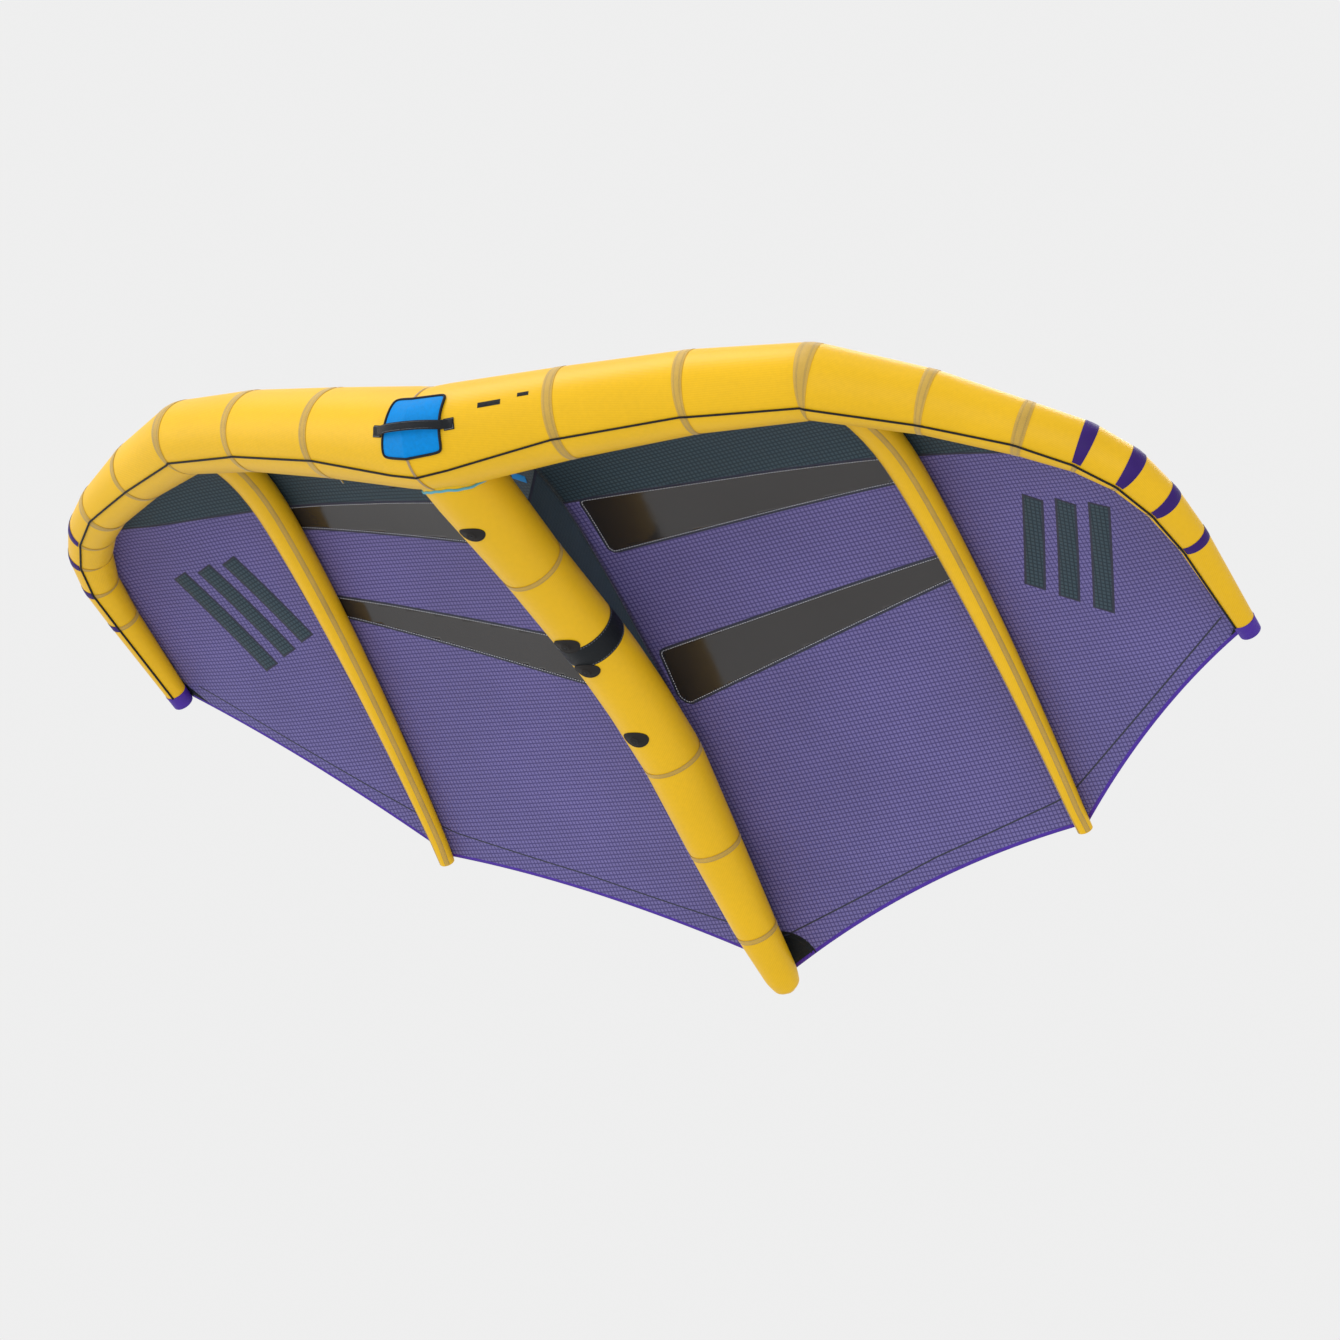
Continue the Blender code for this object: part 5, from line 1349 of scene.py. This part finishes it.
def canopy_half(side):
    """Half of the canopy as one sheet, cut along its seams, each face marked with its zone."""
    outlines = zone_lines()
    bm = bmesh.new()
    front = list(zip(ATTACH_X, ATTACH_Y))
    front[0] = (0.0, front[0][1])
    rear = [(x, rear_point(x).y) for x in spread(ATTACH_X[-1], TAIL_X, 30)]
    rear += [(x, rear_point(x).y) for x in spread(TAIL_X, 0.0, 50)[1:]]
    outline = front + rear[1:]
    bm.faces.new([bm.verts.new((x, y, 0.0)) for x, y in outline])
    lines = [pair for zone in outlines for pair in zip(zone, zone[1:] + zone[:1])]
    knee = HALF_SPAN * LEADING_X_SHARES[4]
    lines += [((0.0, seam_y(0.0)), (knee, seam_y(knee))),
              ((knee, seam_y(knee)), (HALF_SPAN, seam_y(knee)))]
    lines.append(((STRUT_X, read_table(ATTACH_X, ATTACH_Y, STRUT_X)), (TAIL_X, TAIL_Y)))
    cuts = [((ax, ay, 0.0), (by - ay, ax - bx, 0.0)) for (ax, ay), (bx, by) in lines]
    cuts += [((x, 0.0, 0.0), (1.0, 0.0, 0.0)) for x in ATTACH_X[1:-1]]
    columns = math.ceil(HALF_SPAN / CANOPY_STEP)
    rows = math.ceil(CENTRE_CHORD / CANOPY_STEP)
    cuts += [((x, 0.0, 0.0), (1.0, 0.0, 0.0)) for x in spread(0.0, HALF_SPAN, columns)[1:-1]]
    cuts += [((0.0, y, 0.0), (0.0, 1.0, 0.0)) for y in spread(0.0, CENTRE_CHORD, rows)[1:-1]]
    for place, normal in cuts:
        everything = bm.verts[:] + bm.edges[:] + bm.faces[:]
        bmesh.ops.bisect_plane(bm, geom=everything, dist=CLEARANCE, plane_co=place, plane_no=normal)
    layer = bm.loops.layers.uv.new("cloth")
    for face in bm.faces:
        middle = face.calc_center_median()
        face.material_index = zone_at(middle.x, middle.y, outlines)
        for loop in face.loops:
            loop[layer].uv = (side * loop.vert.co.x, loop.vert.co.y)
    for vert in bm.verts:
        vert.co = canopy_point(side * vert.co.x, vert.co.y)
    turn_outward(bm, UP)
    return bm


def add_canopy(side):
    """The canopy's cloth and film, one piece for each sewn panel, meeting edge to edge."""
    whole = canopy_half(side)
    for index, (zone, look, slot) in enumerate(ZONES):
        part = whole.copy()
        others = [face for face in part.faces if face.material_index != index]
        bmesh.ops.delete(part, geom=others, context="FACES")
        area = sum(face.calc_area() for face in part.faces)
        for face in part.faces:
            face.material_index = 0
        name = zone + "_" + SIDES[side]
        piece = add_piece(name + "_sheet", part, look, replaces=name)
        thicken(piece, CLOTH_WALL, 1.0)
    whole.free()
    add_edge_tapes(side)
    add_canopy_seams(side)


def add_edge_tapes(side):
    """Violet tape folded round the trailing edge."""
    bays = (("inner", 0.0, TAIL_X), ("outer", TAIL_X, ATTACH_X[-1] - EDGE_TAPE_WIDTH))
    for bay, start, end in bays:
        path = [(x, rear_point(x).y - EDGE_TAPE_WIDTH / 2.0) for x in spread(start, end, 60)]
        tape = canopy_strip(path, EDGE_TAPE_WIDTH, EDGE_TAPE_LIFTS, side)
        name = "trailing_edge_tape_" + bay + "_" + SIDES[side]
        add_piece(name + "_binding", tape, "violet_binding", replaces=name)


def add_canopy_seams(side):
    """Window edges with their stitches, the front seam, the hem line and the outer bars."""
    name = SIDES[side]
    edges, threads = [], []
    for outline in window_outlines():
        path = rounded(outline, WINDOW_CORNER)
        edges.append(canopy_strip(path, WINDOW_EDGE_WIDTH, SEAM_LINE_LIFTS, side, closed=True))
        for lift in WINDOW_STITCH_LIFTS:
            threads += canopy_stitches(path, WINDOW_EDGE_WIDTH * 0.3, side, lift)
    seam = [(x, seam_y(x)) for x in spread(0.0, seam_end_x(), 60)]
    edges.append(canopy_strip(seam, SEAM_LINE_WIDTH, SEAM_LINE_LIFTS, side))
    edges.append(canopy_strip(HEM_PATH, HEM_LINE_WIDTH, HEM_LINE_LIFTS, side))
    bars = []
    for path in OUTER_BARS:
        bars.append(canopy_strip(path, OUTER_BAR_WIDTH, BAR_LIFTS, side))
        longer = lengthened(path, OUTER_BAR_EDGE)
        wider = OUTER_BAR_WIDTH + 2.0 * OUTER_BAR_EDGE
        edges.append(canopy_strip(longer, wider, BAR_EDGE_LIFTS, side))
    rims = [canopy_strip(tail_curve(24, inset), TAIL_RIM_WIDTH, TAIL_RIM_LIFTS, side)
            for inset in TAIL_RIM_INSETS]
    add_piece("tail_patch_rim_" + name, join(rims), "black_patch_cloth")
    add_piece("outer_bay_bars_" + name, join(bars), "teal_ripstop")
    add_piece("canopy_seams_" + name, join(edges), "navy_edge_cloth")
    add_piece("window_stitches_" + name, stitches(threads), "white_thread")
    if side < 0:
        tab = canopy_strip(JUNCTION_TAB, JUNCTION_TAB_WIDTH, JUNCTION_TAB_LIFTS, side)
        add_piece("junction_tab", tab, "blue_foam_cover")


def lengthened(path, reach):
    """A straight path, longer at both ends."""
    start, end = [Vector(point) for point in path]
    ahead = (end - start).normalized() * reach
    return [start - ahead, end + ahead]


def add_web():
    """The upright rib between the centre strut and the canopy, with a sewn front edge."""
    end = WEB_TAIL_SHARE * CENTRE_CHORD
    front_high = WEB_FRONT - WEB_FRONT_SLANT

    def place(share, rise):
        low_y, high_y = between(WEB_FRONT, end, share), between(front_high, end, share)
        low = Vector((0.0, low_y, centre_strut_top(low_y) + CLEARANCE))
        high = Vector((0.0, high_y, canopy_point(0.0, high_y).z - CLEARANCE))
        return low.lerp(high, rise)

    def hem_place(rise, offset, lift):
        return place(0.004 + offset / (end - WEB_FRONT), rise) + Vector((lift, 0.0, 0.0))

    web = skin(spread(0.0, 1.0, 120), spread(0.0, 1.0, 12), place, capped=False,
               uv=lambda share, rise: (share * (end - WEB_FRONT), rise * 0.2))
    area = sum(face.calc_area() for face in web.faces)
    piece = add_piece("centre_web_sheet", web, "navy_cloth", replaces="centre_web")
    thicken(piece, WEB_WALL, 0.0)
    hem = strip(spread(0.01, 0.99, 20), 0.012, -0.0011, 0.0011, hem_place)
    add_piece("centre_web_hem", hem, "navy_edge_cloth")


# Fittings on the centre strut

def add_handle_mounts():
    """Moulded oval saddles with a round boss and a hole for the threaded insert."""
    profile = [
        (0.0, SADDLE_HOLE, SADDLE_HOLE, 0.0),
        (0.0, SADDLE_HOLE, SADDLE_HOLE, BOSS_HEIGHT - 0.0004),
        (0.0, SADDLE_HOLE + 0.0004, SADDLE_HOLE + 0.0004, BOSS_HEIGHT),
        (0.0, BOSS_RADIUS - 0.0012, BOSS_RADIUS - 0.0012, BOSS_HEIGHT),
        (0.0, BOSS_RADIUS, BOSS_RADIUS, BOSS_HEIGHT - 0.0012),
        (0.5, BOSS_RADIUS + 0.0005, BOSS_RADIUS + 0.0008, 0.0046),
        (1.0, BOSS_RADIUS + 0.0025, BOSS_RADIUS + 0.0035, 0.0032),
    ]
    profile += [(1.0, SADDLE_HALF_LENGTH - inset, SADDLE_HALF_WIDTH - inset, rise)
                for inset, rise in SADDLE_EDGE]
    for name, y in zip(MOUNT_NAMES, MOUNT_PLACES):
        run = centre_run(y)
        axes = CENTRE.frame(run, 0.0)
        lift = BAND_WALL + 2.0 * CLEARANCE if name in MOUNTS_OVER_BAND else CLEARANCE

        def place(level, angle):
            share, along, across, rise = profile[level]
            turn = math.radians(angle)
            u, v = along * math.cos(turn), across * math.sin(turn)
            flat = axes @ Vector((u, v, lift + rise))
            laid = CENTRE.point(run + u, CENTRE.degrees(run, v), lift + rise)
            return flat.lerp(laid, share)

        saddle = skin(range(len(profile)), spread(0.0, 360.0, 48), place, capped=False,
                      uv=lambda level, angle: (level * 0.004, math.radians(angle) * 0.02))
        bmesh.ops.recalc_face_normals(saddle, faces=saddle.faces[:])
        add_piece("handle_mount_pad_" + name, saddle, "black_rubber",
                  replaces="handle_mount_" + name)


def add_strut_band():
    """The dark band round the centre strut, with a row of stitches near each edge."""
    middle = (centre_run(MOUNT_PLACES[1]) + centre_run(MOUNT_PLACES[2])) / 2.0
    angles = spread(-BAND_HALF_ANGLE, BAND_HALF_ANGLE, 110)
    band = ring_strip(CENTRE, middle, BAND_WIDTH, BAND_WALL, angles, CLEARANCE)
    add_piece("strut_band_cloth", band, "black_patch_cloth", replaces="strut_band")
    lift = BAND_WALL + CLEARANCE + TAPE_LIFT
    reach = BAND_HALF_ANGLE - 2.0
    places = []
    for side in SIDES:
        run = middle + side * (BAND_WIDTH / 2.0 - 0.005)
        turn = CENTRE.degrees(run, STITCH_PITCH)
        for angle in spread(-reach, reach, round(2.0 * reach / turn)):
            here = CENTRE.point(run, angle, lift)
            ahead = CENTRE.point(run, angle + turn, lift) - here
            places.append((here, ahead, CENTRE.outward(run, angle)))
    add_piece("strut_band_stitches", stitches(places), "grey_thread")


# Carrying handle

def pad_place(u, v):
    """A place on the pad as a distance along the tube and an angle round it."""
    across, rise = 2.0 * u - 1.0, 2.0 * v - 1.0
    corner = 1.0 - PAD_CORNER_SHARE * abs(across * rise) ** 7
    across, rise = across * corner, (rise * corner + 1.0) / 2.0
    waist = PAD_WAIST * 4.0 * rise * (1.0 - rise)
    left = waist - between(PAD_LEFT_LOW, PAD_LEFT_HIGH, rise)
    right = between(PAD_RIGHT_LOW, PAD_RIGHT_HIGH, rise) - waist
    run = between(left, right, (across + 1.0) / 2.0)
    top = PAD_TOP_CROWN * rise ** 3 * max(1.0 - abs(run) / MITRE_REACH, 0.0)
    return run, between(PAD_LOW_ANGLE, PAD_HIGH_ANGLE, rise) + top


def add_carrying_handle():
    """Foam pad with a piped rim, two sewn anchors and the strap."""
    def crown(share):
        return (1.0 - abs(2.0 * share - 1.0) ** 9) ** 0.5

    def place(u, v):
        run, angle = pad_place(u, v)
        rise = PAD_LINING + (PAD_WALL - PAD_LINING) * crown(u) * crown(v)
        return LEADING.point(run, angle, CLEARANCE + rise)

    pad = skin(spread(0.0, 1.0, 56), spread(0.0, 1.0, 48), place,
               uv=lambda u, v: (u * 0.21, v * 0.17), capped=False)
    turn_outward(pad, LEADING.outward(0.0, STRAP_ANGLE))
    piece = add_piece("carrying_handle_cushion", pad, "blue_foam_cover",
                      replaces="carrying_handle_pad")
    thicken(piece, PAD_LINING, -1.0)
    shares = [step / RIM_STEPS for step in range(RIM_STEPS)]
    border = [(share, 0.0) for share in shares] + [(1.0, share) for share in shares]
    border += [(1.0 - share, 1.0) for share in shares] + [(0.0, 1.0 - share) for share in shares]
    rim = [LEADING.point(*pad_place(u, v), RIM_RADIUS * 0.8) for u, v in border]
    add_piece("carrying_handle_rim", cord(rim + [rim[0]], RIM_RADIUS), "dark_piping")
    threads = []
    for side, run in STRAP_ENDS.items():
        middle = run + side * (ANCHOR_LENGTH - 2.0 * STRAP_HEM_RADIUS) / 2.0
        half = (ANCHOR_LENGTH + 2.0 * STRAP_HEM_RADIUS) / 2.0
        patch = strip(spread(middle - half, middle + half, 14), ANCHOR_WIDTH, CLEARANCE,
                      CLEARANCE + ANCHOR_WALL, anchor_point)
        name = "strap_anchor_" + SIDES[side]
        add_piece(name + "_webbing", patch, "black_webbing", replaces=name)
        threads += anchor_stitches(middle, half)
    add_piece("strap_anchor_stitches", stitches(threads), "grey_thread")
    add_strap()


def anchor_point(run, offset, lift):
    return LEADING.point(run, STRAP_ANGLE + LEADING.degrees(run, offset), lift)


def anchor_stitches(middle, half):
    """A sewn box with a cross in it."""
    wide, tall = half - ANCHOR_STITCH_MARGIN, ANCHOR_WIDTH / 2.0 - ANCHOR_STITCH_MARGIN
    corners = [(-wide, -tall), (wide, -tall), (wide, tall), (-wide, tall), (-wide, -tall),
               (wide, tall), (wide, -tall), (-wide, tall)]
    places = []
    for spot, way in walk(corners, ANCHOR_STITCH_PITCH)[0][:-1]:
        run, angle = middle + spot.x, STRAP_ANGLE + LEADING.degrees(middle, spot.y)
        turn = LEADING.degrees(middle, way.y * 0.004)
        here = LEADING.point(run, angle, ANCHOR_TOP)
        there = LEADING.point(run + way.x * 0.004, angle + turn, ANCHOR_TOP)
        places.append((here, there - here, LEADING.outward(run, angle)))
    return places


def joint_line(name):
    """Where a joint turns, and its axis."""
    joint = next(joint for joint in frame["joints"] if joint["name"] == name)
    return Vector(joint["pos_m"]) - FRAME_SHIFT, Vector(joint["axis"]).normalized()


def smooth_line(points, step):
    """Even steps along a smooth line through some points."""
    runs = [0.0]
    for a, b in zip(points, points[1:]):
        runs.append(runs[-1] + (b - a).length)
    axes = list(zip(*points))
    return [Vector([read_smooth(runs, axis, mark) for axis in axes])
            for mark in spread(0.0, runs[-1], round(runs[-1] / step))]


def add_strap():
    """The webbing arch in two halves, each sewn flat on its anchor and arching clear of the pad in the
    middle.
    """
    pivot, along = joint_line("strap_swing")
    out = LEADING.outward(0.0, STRAP_ANGLE)
    out = (out - along * out.dot(along)).normalized()
    across = out.cross(along)
    ends = [LEADING.point(STRAP_ENDS[side], STRAP_ANGLE) for side in (1, -1)]
    length = (ends[0] - ends[1]).length
    left = pivot - along * (length / 2.0)
    top = CLEARANCE + PAD_WALL + STRAP_CLEAR
    crown = LEADING.point((STRAP_RIGHT - STRAP_LEFT) / 2.0, STRAP_ANGLE, top)
    height = (crown - left).dot(out)
    shares = [0.0] + [share for share, _ in STRAP_RISE_SHARES]
    rises = [0.0] + [rise for _, rise in STRAP_RISE_SHARES]
    floor = STRAP_HEM_RADIUS - STRAP_WALL

    def arch(share):
        rise = read_smooth(shares, rises, min(share, 1.0 - share))
        return left + along * (length * share) + out * (floor + (height - floor) * rise)

    places = []
    for side, run in STRAP_ENDS.items():
        knots = [LEADING.point(run + side * reach, STRAP_ANGLE, ANCHOR_TOP)
                 for reach in (ANCHOR_LENGTH - 0.003, 0.014, 0.006)]
        knots += [arch(step if side < 0 else 1.0 - step) for step in STRAP_STEPS]
        line = smooth_line(knots, STRAP_PITCH)
        webbing = ribbon(line, across, out, STRAP_WIDTH, 0.0, STRAP_WALL)
        upper = ribbon(line[9:], across, out, STRAP_WIDTH * STRAP_UPPER_SHARE, STRAP_WALL,
                       STRAP_WALL + STRAP_UPPER_WALL)
        piece = add_piece("carrying_strap_webbing_" + SIDES[side], join([webbing, upper]),
                          "black_webbing", body=None, replaces="carrying_strap")
        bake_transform(piece)
        for offset in (-STRAP_WIDTH * STRAP_STITCH_SHARE, STRAP_WIDTH * STRAP_STITCH_SHARE):
            aside = across * offset
            over = out * (STRAP_WALL + STRAP_STITCH_LIFT)
            places += [(a + aside + over, b - a, out) for a, b in zip(line[13:], line[14:])]
    threads = stitches(places, 0.003, 0.001)
    add_piece("carrying_strap_stitches", threads, "grey_thread", body="strap")


def ribbon(line, across, out, width, low, high):
    """Flat webbing along a line, its face square to it."""
    last = len(line) - 1

    def place(index, offset, lift):
        ahead = line[min(index + 1, last)] - line[max(index - 1, 0)]
        face = ahead.cross(across).normalized()
        face = face if face.dot(out) > 0.0 else -face
        return line[index] + across * offset + face * lift

    return strip(range(last + 1), width, low, high, place, scale=STRAP_PITCH)


# Zip and the pieces kept from the frame

def add_zip():
    """Zip tape and coil on the rear of the leading edge."""
    tape = long_strip(LEADING, ZIP_END, ZIP_START, ZIP_ANGLE, ZIP_TAPE_WIDTH, ZIP_TAPE_WALL, CLEARANCE)
    add_piece("access_zip_tape_cloth", tape, "black_patch_cloth",
              replaces="access_zip_tape")
    places = []
    lift = 2.0 * CLEARANCE + ZIP_TAPE_WALL + ZIP_COIL_HEIGHT / 2.0
    for run in spread(ZIP_END, ZIP_START, round((ZIP_START - ZIP_END) / ZIP_TOOTH_PITCH)):
        here = LEADING.point(run, ZIP_ANGLE, lift)
        across = LEADING.point(run, ZIP_ANGLE + 1.0, lift) - here
        places.append((here, across, LEADING.outward(run, ZIP_ANGLE)))
    teeth = stitches(places, ZIP_COIL_WIDTH, ZIP_TOOTH_WIDTH, ZIP_COIL_HEIGHT)
    add_piece("access_zip_teeth", teeth, "grey_plastic", replaces="access_zip_coil")


def add_cap_bend():
    """The rubber hinge between the collar's ear and the cap's arm."""
    pivot, across = joint_line("valve_cap_hinge")
    out = LEADING.outward(VALVE_PLACE, VALVE_ANGLE)
    inward = LEADING.point(VALVE_PLACE, VALVE_ANGLE) - pivot
    inward = (inward - out * inward.dot(out)).normalized()
    half = CAP_EAR_WIDTH / 2.0 + CAP_BEND_SKIN
    low, high = -CAP_BEND_SKIN, CAP_EAR_WALL + CAP_BEND_SKIN
    loop = [(-half, low), (half, low), (half, high), (-half, high), (-half, low)]

    def place(height, index):
        offset, lift = loop[index]
        return pivot + out * height + across * offset + inward * lift

    bend = skin(spread(-CAP_BEND_REACH, CAP_BEND_REACH, 14), range(len(loop)), place,
                uv=lambda height, index: (height, loop[index][0]))
    piece = add_piece("valve_cap_bend", bend, "black_rubber", body=None)
    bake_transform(piece)


def finish_kept_nodes():
    """Better finishes on the nodes whose own shape shows."""
    # The threaded inserts take steel darkened as painted shade in their bores
    looks = {"air_port": "grey_plastic", "threaded_insert": "insert_steel_painted_shade", "valve_body": "grey_plastic",
             "valve_flange": "grey_plastic", "valve_cap": "black_rubber",
             "valve_plunger": "black_rubber", "access_zip_slider": "brushed_steel",
             "access_zip_pull": "brushed_steel"}
    for name, node in frame["nodes"].items():
        for start, look in looks.items():
            if name.startswith(start):
                node.data.materials.clear()
                node.data.materials.append(LOOKS[look])


# Studio

def add_camera():
    data = bpy.data.cameras.new("camera")
    data.sensor_width = SENSOR_WIDTH
    data.lens = CAMERA_FOCUS * SENSOR_WIDTH / IMAGE_WIDTH
    data.clip_end = CAMERA_REACH
    camera = new_object("camera", data)
    turn = Matrix((CAMERA_RIGHT, CAMERA_UP, CAMERA_BACK)).transposed().to_4x4()
    camera.matrix_world = Matrix.Translation(CAMERA_PLACE + FRAME_SHIFT) @ turn
    bpy.context.scene.camera = camera


def add_sun(name, direction, strength, spread_angle):
    data = bpy.data.lights.new(name, "SUN")
    data.energy = strength
    data.angle = math.radians(spread_angle)
    lamp = new_object(name, data)
    lamp.rotation_mode = "QUATERNION"
    lamp.rotation_quaternion = Vector(direction).normalized().to_track_quat("Z", "Y")


def add_floor():
    """A pale floor, seen only from above, which takes the wing's shadow."""
    bm = bmesh.new()
    bmesh.ops.create_grid(bm, x_segments=1, y_segments=1, size=60.0)
    floor = new_object("floor", new_mesh("floor", bm))
    floor.location.z = CAD_LOW.z - 0.002
    paint = bpy.data.materials.new("floor_paint")
    paint.use_nodes = True
    tree = paint.node_tree
    tree.nodes.clear()
    pale = add_node(tree, "BsdfDiffuse", {"Color": shade((0.80, 0.80, 0.80))}).outputs[0]
    clear = add_node(tree, "BsdfTransparent").outputs[0]
    below = add_node(tree, "NewGeometry").outputs["Backfacing"]
    seen = maths(tree, "MULTIPLY", add_node(tree, "LightPath").outputs["Is Camera Ray"],
                 maths(tree, "SUBTRACT", 1.0, below))
    mixed = add_node(tree, "MixShader", {0: seen, 1: clear, 2: pale}).outputs[0]
    add_node(tree, "OutputMaterial", {"Surface": mixed})
    floor.data.materials.append(paint)


def add_background(tree, colour, strength):
    return add_node(tree, "Background", {"Color": shade(colour), "Strength": strength}).outputs[0]


def add_studio():
    """A pale backdrop, soft even light and a floor."""
    world = bpy.data.worlds.new("studio")
    bpy.context.scene.world = world
    world.use_nodes = True
    tree = world.node_tree
    tree.nodes.clear()
    path = add_node(tree, "LightPath").outputs
    seen = maths(tree, "MAXIMUM", path["Is Camera Ray"],
                 maths(tree, "MAXIMUM", path["Is Glossy Ray"], path["Is Transmission Ray"]))
    glow = add_background(tree, (0.93, 0.94, 0.96), 0.70)
    backdrop = add_background(tree, (0.86, 0.86, 0.86), 1.0)
    mixed = add_node(tree, "MixShader", {0: seen, 1: glow, 2: backdrop}).outputs[0]
    add_node(tree, "OutputWorld", {"Surface": mixed})
    for sun in SUNS:
        add_sun(*sun)
    add_floor()
    bpy.context.scene.view_settings.view_transform = "Standard"


add_camera()
add_leading_edge()
add_struts()
for side in SIDES:
    add_canopy(side)
add_web()
add_handle_mounts()
add_strut_band()
add_carrying_handle()
add_zip()
add_cap_bend()
finish_kept_nodes()
add_studio()
